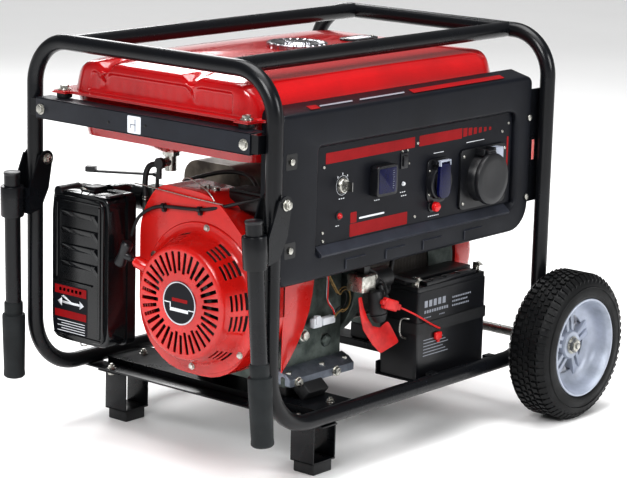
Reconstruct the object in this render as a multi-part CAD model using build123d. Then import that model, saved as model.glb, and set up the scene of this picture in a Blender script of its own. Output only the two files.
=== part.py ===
from build123d import *
import os
from math import cos, pi, radians, sin

# Portable generator, millimetres. +X runs along the length towards the wheels, the control panel
# faces -Y, and +Z is up from the floor. "Station" is the distance from the engine-end hoop's plane.

TUBE_R = 12.7
TUBE_WALL = 2.0
FRAME_LENGTH = 686.0
HALF_WIDTH = 250.0
RAIL_Z = 104.0
TOP_Z = 642.0
CORNER_R = 72.0
FOOT_BEND_R = 90.0
TOP_RAIL_Y = 165.0
HANDLE_OVERHANG = 62.9
WHEEL_R = 124.5
WHEEL_STATION = 691.0
ENGINE_END = -(WHEEL_STATION + WHEEL_R - HANDLE_OVERHANG) / 2

# Engine and alternator share one shaft line.
CRANK_Y = -48.0
CRANK_Z = 264.0
LEAN = 25.0
RECOIL_STATION = 20.0
SHROUD_FRONT = 70.0
SHROUD_REAR = 150.0
CASE_START = 152.0
CASE_END = 298.0
ALTERNATOR_R = 94.0
ADAPTER_R = 112.0               # cast bell between the engine and the alternator

# Control panel.
PANEL_Y = -240.0
PANEL_START = 26.0
PANEL_END = 660.0
PANEL_LOW = 317.0
PANEL_HIGH = 574.0
PLATE_Y = -231.0

# Handles.
PIVOT_STATION = 7.0
PIVOT_Z = 451.0
HANDLE_TOP = (-46.5, 3.6, 434.0)
HANDLE_BOTTOM = (-31.0, 16.0, 96.0)

# Tank.
TANK_START = 17.0
TANK_END = 625.0
TANK_HALF_Y = 200.0
TANK_SEAM_Z = 564.0
CAP_STATION = 338.0
SHEET = 2.0

PARTS = {}


def ex(station):
    """X of a station along the frame."""
    return ENGINE_END + station


def block(a0, a1, y0, y1, z0, z1):
    """Box between two stations, two Y values and two heights."""
    box = Box(a1 - a0, y1 - y0, z1 - z0)
    return Pos(ex((a0 + a1) / 2), (y0 + y1) / 2, (z0 + z1) / 2) * box


def rod(p, q, r):
    """Round bar from p to q, each (station, y, z)."""
    start = Vector(ex(p[0]), p[1], p[2])
    end = Vector(ex(q[0]), q[1], q[2])
    plane = Plane(origin=start, z_dir=end - start)
    return extrude(plane * Circle(r), (end - start).length)


def pipe(p, q, r, bore):
    return rod(p, q, r) - rod(p, q, bore)


def prism(points, y0, y1):
    """Outline of (station, z) points drawn out from y0 to y1."""
    plane = Plane(origin=(0, y0, 0), x_dir=(1, 0, 0), z_dir=(0, -1, 0))
    outline = make_face(Polyline([(ex(a), z) for a, z in points], close=True))
    return extrude(plane * outline, y0 - y1)


def slab_x(sketch, a0, a1):
    """A YZ sketch drawn out from station a0 to a1."""
    plane = Plane(origin=(ex(a0), 0, 0), x_dir=(0, 1, 0), z_dir=(1, 0, 0))
    return extrude(plane * sketch, a1 - a0)


def turned(points, y=CRANK_Y, z=CRANK_Z):
    """Body of revolution about an X axis, from (station, radius) points."""
    plane = Plane(origin=(0, y, z), x_dir=(1, 0, 0), z_dir=(0, -1, 0))
    outline = make_face(Polyline([(ex(a), r) for a, r in points], close=True))
    return revolve(plane * outline, Axis((0, y, z), (1, 0, 0)))


def hexagon(centre, direction, across, height):
    plane = Plane(origin=(ex(centre[0]), centre[1], centre[2]), z_dir=direction)
    return extrude(plane * RegularPolygon(across / 2, 6, major_radius=False), height)


def mirrored_y(shape):
    return mirror(shape, about=Plane.XZ)


def both_sides(shape):
    return [shape, mirrored_y(shape)]


def keep(name, *shapes):
    """Store the solids of one named sub-part."""
    solids = []
    for shape in shapes:
        group = shape if isinstance(shape, (list, tuple)) else [shape]
        for item in group:
            solids.extend(item.solids())
    PARTS[name] = solids


# ---------------------------------------------------------------- frame

def hoop_path(plane_a, leg_a):
    a = ex(plane_a)
    leg = ex(leg_a)
    w = HALF_WIDTH
    return FilletPolyline(
        (leg, -w, RAIL_Z), (a, -w, RAIL_Z), (a, -w, TOP_Z),
        (a, w, TOP_Z), (a, w, RAIL_Z), (leg, w, RAIL_Z),
        radius=[FOOT_BEND_R, CORNER_R, CORNER_R, FOOT_BEND_R])


def swept(path, r):
    start = Plane(origin=path @ 0, z_dir=path % 0)
    return sweep(start * Circle(r), path=path)


def hoop(plane_a, leg_a):
    path = hoop_path(plane_a, leg_a)
    tube = swept(path, TUBE_R) - swept(path, TUBE_R - TUBE_WALL)
    if plane_a < 1:
        for y in (-HALF_WIDTH, HALF_WIDTH):
            tube -= rod((PIVOT_STATION, y - 20, PIVOT_Z), (PIVOT_STATION, y + 20, PIVOT_Z), 4.05)
    return tube


def top_rails():
    rails = []
    for y in (-TOP_RAIL_Y, TOP_RAIL_Y):
        rail = pipe((0, y, TOP_Z), (FRAME_LENGTH, y, TOP_Z), TUBE_R, TUBE_R - TUBE_WALL)
        for a in (0, FRAME_LENGTH):
            rail -= rod((a, y - 30, TOP_Z), (a, y + 30, TOP_Z), TUBE_R + 0.05)
        rails.append(rail)
    return [r.solids().sort_by(SortBy.VOLUME)[-1] for r in rails]


FOOT_Y = 202.0
FOOT_BOLT_A = (125.0, 200.0)


def cross_member(a0, web_a, a1):
    """Folded floor member: bolting ledge under the rails, a web and a raised platform."""
    ledge = block(a0, web_a + 3, -258, 258, 88.2, 91.2)
    web = block(web_a, web_a + 3, -234, 234, 88.2, 102)
    top = block(web_a, a1, -234, 234, 99, 102)
    rear = block(a1 - 3, a1, -234, 234, 88.2, 102)
    return ledge + web + top + rear


def engine_cross_member():
    member = cross_member(116, 148, 238)
    for y in (-FOOT_Y, FOOT_Y):
        for a in FOOT_BOLT_A:
            member -= rod((a, y, 80), (a, y, 110), 3.2)
    return member


def foot_bracket(side):
    """Bent strip foot: two flanges facing along X, a web with the pad bolt, top flanges."""
    y0 = side * FOOT_Y - 23
    y1 = side * FOOT_Y + 23
    front = block(134, 137, y0, y1, 18, 88.1)
    front_top = block(116, 137, y0, y1, 85.1, 88.1)
    web = block(134, 188, y0, y1, 18, 21)
    rear = block(185, 188, y0, y1, 18, 98.9)
    rear_top = block(185, 212, y0, y1, 95.9, 98.9)
    foot = front + front_top + web + rear + rear_top
    y = side * FOOT_Y
    foot -= rod((FOOT_BOLT_A[0], y, 80), (FOOT_BOLT_A[0], y, 95), 3.2)
    foot -= rod((FOOT_BOLT_A[1], y, 90), (FOOT_BOLT_A[1], y, 105), 3.2)
    return foot


def foot_pad(side):
    pad = block(139, 183, side * FOOT_Y - 20.5, side * FOOT_Y + 20.5, 0, 18)
    return chamfer(pad.faces().sort_by(Axis.Z)[0].edges(), 2)


TANK_BAR_Z = (521.0, 554.0)
TANK_BOLT_Y = 212.0


def tank_bar(face_a, inward):
    """C-channel across a hoop that carries one end of the tank."""
    a_web = sorted((face_a, face_a + 2.5 * inward))
    a_all = sorted((face_a, face_a + 32 * inward))
    web = block(a_web[0], a_web[1], -223, 223, *TANK_BAR_Z)
    low = block(a_all[0], a_all[1], -223, 223, TANK_BAR_Z[0], TANK_BAR_Z[0] + 2.5)
    high = block(a_all[0], a_all[1], -223, 223, TANK_BAR_Z[1] - 2.5, TANK_BAR_Z[1])
    bar = web + low + high
    for y in (-TANK_BOLT_Y, TANK_BOLT_Y):
        bar -= rod((face_a - 9, y, 536), (face_a + 9, y, 536), 3.2)
    return bar


def tank_tab(face_a, inward, hoop_a, side):
    """Welded angle that joins a tank bar to the hoop's upright."""
    plate_a = sorted((face_a + 2.6 * inward, face_a + 5.6 * inward))
    plate = block(plate_a[0], plate_a[1], 197, 237.3, 524, 551)
    leg_a = sorted((plate_a[0], hoop_a))
    leg = block(leg_a[0], leg_a[1], 234.3, 237.3, 524, 551)
    tab = plate + leg
    tab -= rod((plate_a[0] - 2, TANK_BOLT_Y, 536), (plate_a[1] + 2, TANK_BOLT_Y, 536), 3.2)
    return tab if side > 0 else mirrored_y(tab)


AXLE_R = 8.0


def axle_plate(side):
    outline = [(640, 108), (664, 104), (704, 108), (708, 136), (690, 150), (668, 150)]
    y = sorted((side * 232.3, side * 237.2))
    plate = prism(outline, y[0], y[1])
    return plate - rod((WHEEL_STATION, y[0] - 5, WHEEL_R), (WHEEL_STATION, y[1] + 5, WHEEL_R), AXLE_R + 0.1)


PANEL_BOLT_Z = (372.0, 505.0)


def panel_brackets():
    """Plates welded to the near uprights that carry the control panel."""
    plates = []
    for z in PANEL_BOLT_Z:
        tab = block(0, 62, -236.7, -234, z - 20, z + 20)
        plates.append(tab - rod((50, -240, z), (50, -230, z), 2.7))
    side = block(640, FRAME_LENGTH, -236.7, -234, 362, 549)
    for z in PANEL_BOLT_Z:
        side -= rod((651, -240, z), (651, -230, z), 2.7)
    plates.append(side + tank_tab(662.5, -1, FRAME_LENGTH, -1))
    return plates


def alternator_cross_member():
    """Folded member under the alternator, with the battery's shelf welded on."""
    top = block(528, 572, -234, 234, 99, 102)
    front = block(528, 531, -234, 234, 88, 102)
    rear = block(569, 572, -234, 234, 88, 102)
    shelf = block(384, 573, -237, -144, 100, 102.8)
    back = block(384, 573, -147, -144, 100, 122)
    return top + front + rear + shelf + back


def welded_brackets():
    shapes = []
    for side in (-1, 1):
        shapes.append(tank_tab(-24, 1, 0, side))
        shapes.append(axle_plate(side))
    shapes.append(tank_tab(662.5, -1, FRAME_LENGTH, 1))
    shapes.extend(panel_brackets())
    return shapes


def bolt(centre, direction, grip, across=10.0, shank=3.1, head=4.5, tail=9.0):
    """Hex bolt with its nut: the head sits at the centre and the shank runs along direction."""
    d = Vector(*direction)
    a, y, z = centre
    hexes = hexagon((a - d.X * head, y - d.Y * head, z - d.Z * head), direction, across, head)
    stem_end = (a + d.X * (grip + tail), y + d.Y * (grip + tail), z + d.Z * (grip + tail))
    stem = rod(centre, stem_end, shank)
    nut = hexagon((a + d.X * grip, y + d.Y * grip, z + d.Z * grip), direction, across, 5)
    return hexes + stem + nut


def frame_bolts():
    bolts = []
    for y in (-FOOT_Y, FOOT_Y):
        bolts.append(bolt((FOOT_BOLT_A[0], y, 85.1), (0, 0, 1), 6.1))
        bolts.append(bolt((FOOT_BOLT_A[1], y, 95.9), (0, 0, 1), 6.1))
    for y in (-TANK_BOLT_Y, TANK_BOLT_Y):
        bolts.append(bolt((-24, y, 536), (1, 0, 0), 5.6, across=12))
        bolts.append(bolt((662.5, y, 536), (-1, 0, 0), 5.6, across=12))
    for z in PANEL_BOLT_Z:
        for a in (50, 651):
            bolts.append(bolt((a, PANEL_Y, z), (0, 1, 0), 6.0, across=8, shank=2.5, tail=7))
    for side in (-1, 1):
        y = side * HALF_WIDTH
        ends = (y - 19.5, y + 19.5)
        pin = rod((PIVOT_STATION, ends[0] - 8, PIVOT_Z), (PIVOT_STATION, ends[1] + 3, PIVOT_Z), 4.0)
        head = hexagon((PIVOT_STATION, ends[1], PIVOT_Z), (0, 1, 0), 12, 5)
        nut = hexagon((PIVOT_STATION, ends[0] - 6, PIVOT_Z), (0, 1, 0), 12, 6)
        bolts.append(pin + head + nut)
    return bolts


def axle():
    shaft = rod((WHEEL_STATION, -329, WHEEL_R), (WHEEL_STATION, 329, WHEEL_R), AXLE_R)
    for side in (-1, 1):
        low = sorted((side * 323, side * 329))
        shaft += hexagon((WHEEL_STATION, low[0], WHEEL_R), (0, 1, 0), 22, 6)
        collar = sorted((side * 238, side * 266))
        shaft += rod((WHEEL_STATION, collar[0], WHEEL_R), (WHEEL_STATION, collar[1], WHEEL_R), 11)
    return shaft


# ---------------------------------------------------------------- wheels and handles

TYRE_IN = 268.0
TYRE_OUT = 348.0
RIM_R = 81.5


def about_wheel(points):
    """Body of revolution about the axle from (y, radius) points."""
    plane = Plane(origin=(ex(WHEEL_STATION), 0, WHEEL_R), x_dir=(0, 1, 0), z_dir=(1, 0, 0))
    outline = make_face(Polyline([(y, r) for y, r in points], close=True))
    return revolve(plane * outline, Axis((ex(WHEEL_STATION), 0, WHEEL_R), (0, 1, 0)))


def tyre():
    r = WHEEL_R
    profile = [(TYRE_IN + 6, RIM_R), (TYRE_IN, 96), (TYRE_IN, r - 20), (TYRE_IN + 5, r - 7),
               (TYRE_IN + 13, r), (TYRE_OUT - 13, r), (TYRE_OUT - 5, r - 7), (TYRE_OUT, r - 20),
               (TYRE_OUT, 96), (TYRE_OUT - 4, RIM_R), (TYRE_OUT - 9, RIM_R - 0.01)]
    body = about_wheel(profile[:10])
    return body


def rim():
    """Dished wheel: outer lips, drum, recessed disc with five twin spokes, hub."""
    drum = about_wheel([(TYRE_IN + 6.2, 74), (TYRE_IN + 6.2, 81.3), (TYRE_OUT - 4.2, 81.3),
                        (TYRE_OUT - 2, 83.5), (TYRE_OUT - 1, 81), (TYRE_OUT - 8, 76), (TYRE_IN + 40, 72)])
    hub = about_wheel([(TYRE_IN, AXLE_R + 0.06), (TYRE_IN, 20), (322.5, 20), (322.5, AXLE_R + 0.06)])
    shape = drum + hub
    disc = about_wheel([(300, 16), (300, 75), (308, 73), (316, 19)])
    gap = None
    for i in range(5):
        centre = radians(90 + 72 * i + 36)
        hole = Circle(15)
        spot = Vector(ex(WHEEL_STATION) + 50 * cos(centre), 0, WHEEL_R + 50 * sin(centre))
        plane = Plane(origin=(spot.X, 290, spot.Z), z_dir=(0, 1, 0))
        cut = extrude(plane * hole, 40)
        gap = cut if gap is None else gap + cut
    return shape + (disc - gap)


def handle_point(t, side):
    """Point on the handle tube's axis, t from 0 at the top plug to 1 at the grip's end."""
    a = HANDLE_TOP[0] + (HANDLE_BOTTOM[0] - HANDLE_TOP[0]) * t
    out = HANDLE_TOP[1] + (HANDLE_BOTTOM[1] - HANDLE_TOP[1]) * t
    z = HANDLE_TOP[2] + (HANDLE_BOTTOM[2] - HANDLE_TOP[2]) * t
    return (a, side * (HALF_WIDTH + out), z)


GRIP_START = 0.63


def handle_arm(side):
    tube = rod(handle_point(0, side), handle_point(0.985, side), TUBE_R)
    tube -= rod(handle_point(0.02, side), handle_point(0.985, side), TUBE_R - TUBE_WALL)
    sleeve = rod(handle_point(0.07, side), handle_point(0.21, side), 17.5)
    sleeve -= rod(handle_point(0.03, side), handle_point(0.25, side), TUBE_R - 1)
    y = side * HALF_WIDTH
    web = block(-30, -25.5, y - 19.3, y + 19.3, 367, 407)
    web -= rod(handle_point(0, side), handle_point(0.9, side), TUBE_R - 1)
    outline = [(-30, 367), (-30, 407), (-8, 459), (18, 444), (11, 404), (-6, 372)]
    arm = tube + sleeve + web
    for y0 in (y - 19.3, y + 16.3):
        cheek = prism(outline, y0, y0 + 3)
        cheek += rod((PIVOT_STATION, y0, PIVOT_Z), (PIVOT_STATION, y0 + 3, PIVOT_Z), 13.5)
        arm += cheek
    hole = rod((PIVOT_STATION, y - 25, PIVOT_Z), (PIVOT_STATION, y + 25, PIVOT_Z), 4.06)
    return arm - hole


def handle_grip(side):
    grip = rod(handle_point(GRIP_START, side), handle_point(GRIP_START + 0.06, side), 14.8)
    start = Vector(*handle_point(GRIP_START + 0.06, side))
    end = Vector(*handle_point(1, side))
    a = Plane(origin=(ex(start.X), start.Y, start.Z), z_dir=end - start)
    b = Plane(origin=(ex(end.X), end.Y, end.Z), z_dir=end - start)
    grip += loft([a * Circle(18.3), b * Circle(16.6)])
    bore = rod(handle_point(GRIP_START - 0.01, side), handle_point(0.985, side), TUBE_R)
    return grip - bore


# ---------------------------------------------------------------- tank

def tank_outline(inset, z, radius):
    """Rounded rectangle around the tank, drawn in from its widest outline."""
    length = TANK_END - TANK_START - 2 * inset
    width = 2 * (TANK_HALF_Y - inset)
    centre = ex((TANK_START + TANK_END) / 2)
    return Pos(centre, 0, z) * RectangleRounded(length, width, radius)


def tank_upper():
    outer = loft([tank_outline(0, TANK_SEAM_Z + 2, 46), tank_outline(24, 613, 34)])
    dome = loft([tank_outline(24, 613, 34), tank_outline(60, 621, 26)])
    inner = loft([tank_outline(SHEET, TANK_SEAM_Z + 1, 44), tank_outline(24 + SHEET, 611, 32)])
    shell = outer + dome - inner
    rim_plate = extrude(tank_outline(-14, TANK_SEAM_Z, 40), 2)
    rim_plate -= extrude(tank_outline(2, TANK_SEAM_Z - 1, 44), 4)
    shell += rim_plate
    for a in (6, 636):
        for y in (-190, 190):
            shell += block(a - 13, a + 13, y - 14, y + 14, TANK_SEAM_Z, TANK_SEAM_Z + 2)
            shell -= rod((a, y, 560), (a, y, 570), 3.3)
    shell -= rod((CAP_STATION, 0, 606), (CAP_STATION, 0, 630), 26)
    shell += pipe((CAP_STATION, 0, 606), (CAP_STATION, 0, 626), 27.5, 26)
    shell -= rod((495, 0, 600), (495, 0, 630), 14)
    return shell


def tank_lower():
    outer = loft([tank_outline(0, TANK_SEAM_Z - 0.2, 46), tank_outline(14, 496, 40)])
    inner = loft([tank_outline(SHEET, TANK_SEAM_Z + 1, 44), tank_outline(14 + SHEET, 498, 38)])
    sump = Pos(ex(100), 50, 0) * loft([Pos(0, 0, 497) * Circle(62), Pos(0, 0, 478) * Circle(20)])
    hollow = Pos(ex(100), 50, 0) * loft([Pos(0, 0, 499) * Circle(60), Pos(0, 0, 480) * Circle(18)])
    shell = outer + sump - inner - hollow
    shell -= rod((100, 50, 470), (100, 50, 485), 5.1)
    rim_plate = extrude(tank_outline(-14, TANK_SEAM_Z - 2.2, 40), 2)
    rim_plate -= extrude(tank_outline(2, TANK_SEAM_Z - 3, 44), 4)
    shell += rim_plate
    for a in (6, 636):
        for y in (-190, 190):
            shell += block(a - 13, a + 13, y - 14, y + 14, TANK_SEAM_Z - 2.2, TANK_SEAM_Z - 0.2)
            shell -= rod((a, y, 550), (a, y, 570), 3.3)
    return shell


def rubber_mounts():
    """Tank rubbers on the bars, engine and alternator rubbers on the cross members."""
    rubbers = []
    for a in (6, 636):
        for y in (-190, 190):
            ring = rod((a, y, TANK_BAR_Z[1]), (a, y, TANK_SEAM_Z - 2.3), 12)
            rubbers.append(ring)
    for a in (185, 222):
        for y in (-118, 36):
            rubbers.append(block(a - 14, a + 14, y - 18, y + 18, 102, 124))
    for y in (-110, 14):
        rubbers.append(block(534, 566, y - 18, y + 18, 102, 128))
    return rubbers


def tank_bolts():
    bolts = []
    for a in (6, 636):
        for y in (-190, 190):
            head = hexagon((a, y, TANK_SEAM_Z + 4), (0, 0, 1), 12, 6)
            washer = rod((a, y, TANK_SEAM_Z + 2), (a, y, TANK_SEAM_Z + 4), 10)
            stem = rod((a, y, TANK_SEAM_Z - 2.2), (a, y, TANK_SEAM_Z + 6), 3.1)
            bolts.append(head + washer + stem)
    return bolts


def fuel_cap():
    """Knurled metal cap; its skirt drops over the filler neck."""
    cap = turned_z([(0, 628), (46, 628), (49, 626), (49, 622), (44, 621.5), (28.2, 622),
                    (28.2, 626.6), (0, 626.6)], CAP_STATION, 0)
    flutes = None
    for i in range(30):
        t = radians(12 * i)
        groove = rod((CAP_STATION + 50.2 * cos(t), 50.2 * sin(t), 620),
                     (CAP_STATION + 50.2 * cos(t), 50.2 * sin(t), 637), 2.2)
        flutes = groove if flutes is None else flutes + groove
    crown = turned_z([(0, 627), (40, 627), (38, 634), (30, 636), (0, 636)], CAP_STATION, 0)
    return cap - flutes + crown


def turned_z(points, a, y):
    """Body of revolution about a vertical axis from (radius, z) points."""
    plane = Plane(origin=(ex(a), y, 0), x_dir=(1, 0, 0), z_dir=(0, -1, 0))
    outline = make_face(Polyline(points, close=True))
    return revolve(plane * outline, Axis((ex(a), y, 0), (0, 0, 1)))


def fuel_gauge():
    plate = rod((495, 0, 621.1), (495, 0, 627), 30)
    stem = rod((495, 0, 585), (495, 0, 621.1), 12)
    float_arm = rod((495, 0, 588), (540, 0, 560), 2.5)
    return plate + stem + float_arm


def fuel_cock():
    body = rod((100, 50, 446), (100, 50, 474), 9)
    body += rod((100, 50, 474), (100, 50, 487), 5)
    body += hexagon((100, 50, 470), (0, 0, 1), 24, 8)
    body += rod((94, 50, 460), (79, 50, 460), 7)
    body += rod((100, 54, 452), (100, 69.9, 452), 4.4)
    return body - rod((92, 50, 460), (78, 50, 460), 3.05)


def fuel_cock_lever():
    stem = rod((74, 50, 460), (91, 50, 460), 3.0)
    disc = rod((72, 50, 460), (78.6, 50, 460), 9)
    lever = block(72, 76, 46, 54, 436, 460)
    return stem + disc + lever


HOSE_R = 4.5


def cord(name, points, r):
    """Round cord along straight runs joined by tangent arcs; prints its length and bend radii."""
    runs = [Vector(ex(a), y, z) for a, y, z in points]
    radii = []
    for i in range(1, len(runs) - 1):
        before = runs[i] - runs[i - 1]
        after = runs[i + 1] - runs[i]
        half_turn = radians(before.get_angle(after) / 2)
        radii.append(0.45 * min(before.length, after.length) * cos(half_turn) / sin(half_turn))
    path = FilletPolyline(*runs, radius=radii)
    shape = swept(path, r)
    ratio = shape.volume / (path.length * pi * r ** 2)
    print(name, "length", round(path.length, 1), "radii", [round(x, 1) for x in radii], "ratio", round(ratio, 3))
    return shape


def fuel_hose():
    """Rubber hose from the cock's outlet down to the carburettor."""
    points = [(100, 70, 452), (100, 92, 452), (100, 104, 437), (98, 104, 412), (96, 100, 400), (96, 100, 388.6)]
    return cord("fuel hose", points, HOSE_R)


# ---------------------------------------------------------------- engine

def engine_block():
    """Crankcase with mounting feet and the finned, leaning cylinder, hollow for the crank."""
    case = block(CASE_START, CASE_END, -138, 44, 140, 332)
    case = fillet(case.edges().filter_by(Axis.X), 14)
    case += block(151, 306, -150, 54, 124, 142)
    case -= block(CASE_START + 7, CASE_END - 7, -130, 36, 149, 324)
    case += slab_x(Pos(CRANK_Y, CRANK_Z) * Circle(62), CASE_END - 2, CASE_END + 8)
    lean = Plane(origin=(ex(205), CRANK_Y, CRANK_Z), x_dir=(1, 0, 0),
                 z_dir=(0, cos(radians(LEAN)), sin(radians(LEAN))))
    barrel = extrude(lean.offset(86) * Circle(50), 76)
    for i in range(7):
        barrel += extrude(lean.offset(94 + 10 * i) * RectangleRounded(108, 104, 16), 3)
    barrel += extrude(lean.offset(158) * RectangleRounded(100, 98, 14), 4)
    case += barrel
    case -= extrude(lean.offset(70) * Circle(44), 110)
    case -= rod((CASE_START - 5, CRANK_Y, CRANK_Z), (CASE_END + 12, CRANK_Y, CRANK_Z), 17.05)
    return case


def lean_plane(distance):
    plane = Plane(origin=(ex(205), CRANK_Y, CRANK_Z), x_dir=(1, 0, 0),
                  z_dir=(0, cos(radians(LEAN)), sin(radians(LEAN))))
    return plane.offset(distance)


def cylinder_head():
    head = extrude(lean_plane(162.1) * RectangleRounded(100, 98, 14), 34)
    for i in range(3):
        head += extrude(lean_plane(168 + 9 * i) * RectangleRounded(112, 108, 16), 3)
    head -= extrude(lean_plane(162) * Circle(43), 6)
    head -= extrude(lean_plane(196) * Rectangle(40, 40), -20)
    return head


def rocker_cover():
    cover = extrude(lean_plane(196.2) * RectangleRounded(94, 88, 16), 30)
    cover = fillet(cover.faces().sort_by(Axis((0, 0, 0), (0, cos(radians(LEAN)), sin(radians(LEAN)))))[-1].edges(), 8)
    return cover - extrude(lean_plane(196) * RectangleRounded(86, 80, 12), 25)


def crankshaft():
    """Shaft with two crank webs and the crank pin between them; the flywheel end is at the front."""
    shaft = rod((66, CRANK_Y, CRANK_Z), (200, CRANK_Y, CRANK_Z), 17.0)
    shaft += rod((228, CRANK_Y, CRANK_Z), (318, CRANK_Y, CRANK_Z), 17.0)
    for a in (190, 220):
        shaft += rod((a, CRANK_Y, CRANK_Z), (a + 14, CRANK_Y, CRANK_Z), 46)
    shaft += rod((200, CRANK_Y, CRANK_Z + 30), (222, CRANK_Y, CRANK_Z + 30), 14)
    return shaft


def flywheel_fan():
    """Cast flywheel with a ring of cooling blades."""
    wheel = turned([(84, 17.0), (84, 30), (98, 92), (112, 100), (112, 17.0)])
    blades = None
    for i in range(16):
        t = radians(22.5 * i)
        y = CRANK_Y + 74 * cos(t)
        z = CRANK_Z + 74 * sin(t)
        fin = Pos(ex(91), y, z) * Rot(22.5 * i, 0, 0) * Box(22, 30, 3)
        blades = fin if blades is None else blades + fin
    return wheel + blades


def starter_cup():
    """Recoil pulley inside the housing."""
    return turned([(40, 0), (40, 38), (44, 44), (58, 44), (62, 38), (62, 0)])


def shroud_outline(grow):
    """YZ outline of the fan shroud, drawn in by grow."""
    g = grow
    pts = [(-70 + 0.5 * g, 427 - g), (46 - 0.5 * g, 431 - g), (86 - g, 377 - 0.4 * g),
           (86 - g, 262)]
    start = pts[-1]
    return pts, start


def shroud_face(g):
    pts, start = shroud_outline(g)
    low = CRANK_Z - 124 + g
    left = (-152 + g)
    bottom_mid = (CRANK_Y + 10, low)
    line = Polyline([(left, 262), (left, 352), *pts])
    arc1 = ThreePointArc(start, (62 - 0.7 * g, 176 + 0.7 * g), bottom_mid)
    arc2 = ThreePointArc(bottom_mid, (-128 + 0.7 * g, 176 + 0.7 * g), (left, 262))
    return make_face([line, arc1, arc2])


def fan_shroud():
    shell = slab_x(shroud_face(0), SHROUD_FRONT, SHROUD_REAR)
    shell -= slab_x(shroud_face(2.5), SHROUD_FRONT + 2.5, SHROUD_REAR + 5)
    shell -= slab_x(Pos(CRANK_Y, CRANK_Z) * Circle(90), SHROUD_FRONT - 5, SHROUD_FRONT + 5)
    cheek = prism([(SHROUD_REAR - 1, 168), (161, 168), (216, 290), (216, 344), (SHROUD_REAR - 1, 344)],
                  -152, -150)
    return shell + cheek


def recoil_housing():
    """Slotted cup over the recoil starter, with the rope guide."""
    a = RECOIL_STATION
    cup = turned([(a, 0), (a, 84), (a + 6, 91), (a + 44, 108), (a + 46, 119), (a + 50, 119), (a + 50, 106),
                  (a + 46.5, 104.5), (a + 7.5, 88.5), (a + 2.5, 82), (a + 2.5, 0)])
    cuts = None
    for i in range(36):
        inner = 46 if i % 2 else 52
        width = 4.2
        bar = Pos(ex(a), 0, 0) * Box(16, width, 78 - inner)
        slot = Pos(0, CRANK_Y, CRANK_Z) * Rot(10 * i, 0, 0) * Pos(0, 0, (78 + inner) / 2) * bar
        cuts = slot if cuts is None else cuts + slot
    for i in (0, 1, 2, 3, 5, 6, 9, 10, 11):
        for k in range(3):
            bar = Pos(ex(a + 16 + 9 * k), 0, 0) * Box(4, 20, 30)
            slot = Pos(0, CRANK_Y, CRANK_Z) * Rot(30 * i + 8, 0, 0) * Pos(0, 0, 100) * bar
            cuts += slot
    cup -= cuts
    guide = rod((44, 36, 298), (37, 58, 308), 8)
    rope = rod((37, 58, 308), (34.5, 66.1, 311.7), 2.5)
    return cup + guide + rope


def recoil_badge():
    return rod((RECOIL_STATION - 1.5, CRANK_Y, CRANK_Z), (RECOIL_STATION, CRANK_Y, CRANK_Z), 34)


GRIP_CENTRE = (29.0, 79.0, 318.0)


def recoil_grip():
    """T handle of the recoil starter, resting at the end of its rope."""
    a, y, z = GRIP_CENTRE
    bar = rod((a, y + 7, z - 16.5), (a, y - 7, z + 16.5), 7.5)
    neck = rod((a, y, z), (a + 4.2, y - 12.5, z - 5.6), 6)
    return bar + neck


def air_cleaner_cover():
    body = block(15, 62, 107, 232, 160, 402)
    body = fillet(body.edges().filter_by(Axis.X), 14)
    body = chamfer(body.faces().sort_by(Axis.X)[0].edges(), 9)
    body -= fillet(block(18, 63, 110, 229, 163, 399).edges().filter_by(Axis.X), 11)
    for i in range(5):
        z = 374 - 30 * i
        body -= block(13, 17, 122, 205, z - 5, z + 5)
    body += block(44, 58, 160, 184, 401, 407) + block(44, 72, 160, 184, 405, 410)
    body += block(44, 58, 160, 184, 155, 161) + block(44, 72, 160, 184, 152, 157)
    return body


def air_cleaner_base():
    base = fillet(block(62.2, 80, 105, 234, 158, 404).edges().filter_by(Axis.X), 14)
    base -= block(60, 77, 112, 228, 165, 396)
    base += pipe((80, 165, 388), (88, 165, 388), 21, 17)
    base -= rod((70, 165, 388), (90, 165, 388), 17)
    base += block(80, 84, 150, 180, 158, 200)
    return base


def air_cleaner_element():
    return block(26, 76, 118, 222, 172, 360) - block(30, 77, 126, 214, 180, 352)


def intake_elbow():
    path = FilletPolyline((ex(88.1), 165, 388), (ex(123.5), 165, 388), (ex(123.5), 120.1, 388), radius=24)
    return swept(path, 20) - swept(path, 16.5)


def carburettor():
    body = block(106, 141, 92, 120, 366, 410)
    body = fillet(body.edges().filter_by(Axis.Z), 6)
    bowl = rod((123.5, 106, 338), (123.5, 106, 366), 17)
    flange = block(141, 148.8, 88, 120, 352, 400)
    inlet = rod((96, 100, 376), (107, 100, 376), 4.4) + rod((96, 100, 372), (96, 100, 388.5), 4.4)
    shape = body + bowl + flange + inlet
    return shape - rod((118, 96, 412), (118, 96, 392), 3.05)


CHOKE_Z = 430.0


def choke_lever():
    """Long arm above the air cleaner with a raised finger tab."""
    pin = rod((118, 96, 393), (118, 96, CHOKE_Z + 3), 3.0)
    boss = rod((118, 96, CHOKE_Z - 2), (118, 96, CHOKE_Z + 3), 7)
    direction = Vector(-58, 98, 0).normalized()
    middle = Vector(ex(118), 96, CHOKE_Z + 0.5) + direction * 57
    angle = 180 - 59.4
    arm = Pos(middle.X, middle.Y, middle.Z) * Rot(0, 0, angle) * Box(114, 7, 3)
    tab_at = Vector(ex(118), 96, CHOKE_Z + 4) + direction * 108
    tab = Pos(tab_at.X, tab_at.Y, tab_at.Z) * Rot(0, 0, angle) * Box(16, 12, 8)
    return pin + boss + arm + tab


def governor_lever():
    """Speed lever behind the shroud's top edge, worked by the throttle rod."""
    pin = rod((161, -60, 380), (161, -60, 392), 3.0)
    plate = block(155, 167, -66, -54, 392, 395)
    arm = block(157, 165, -62, 20, 392, 395)
    post = rod((161, 14, 395), (161, 14, 412), 3)
    return pin + plate + arm + post


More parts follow.
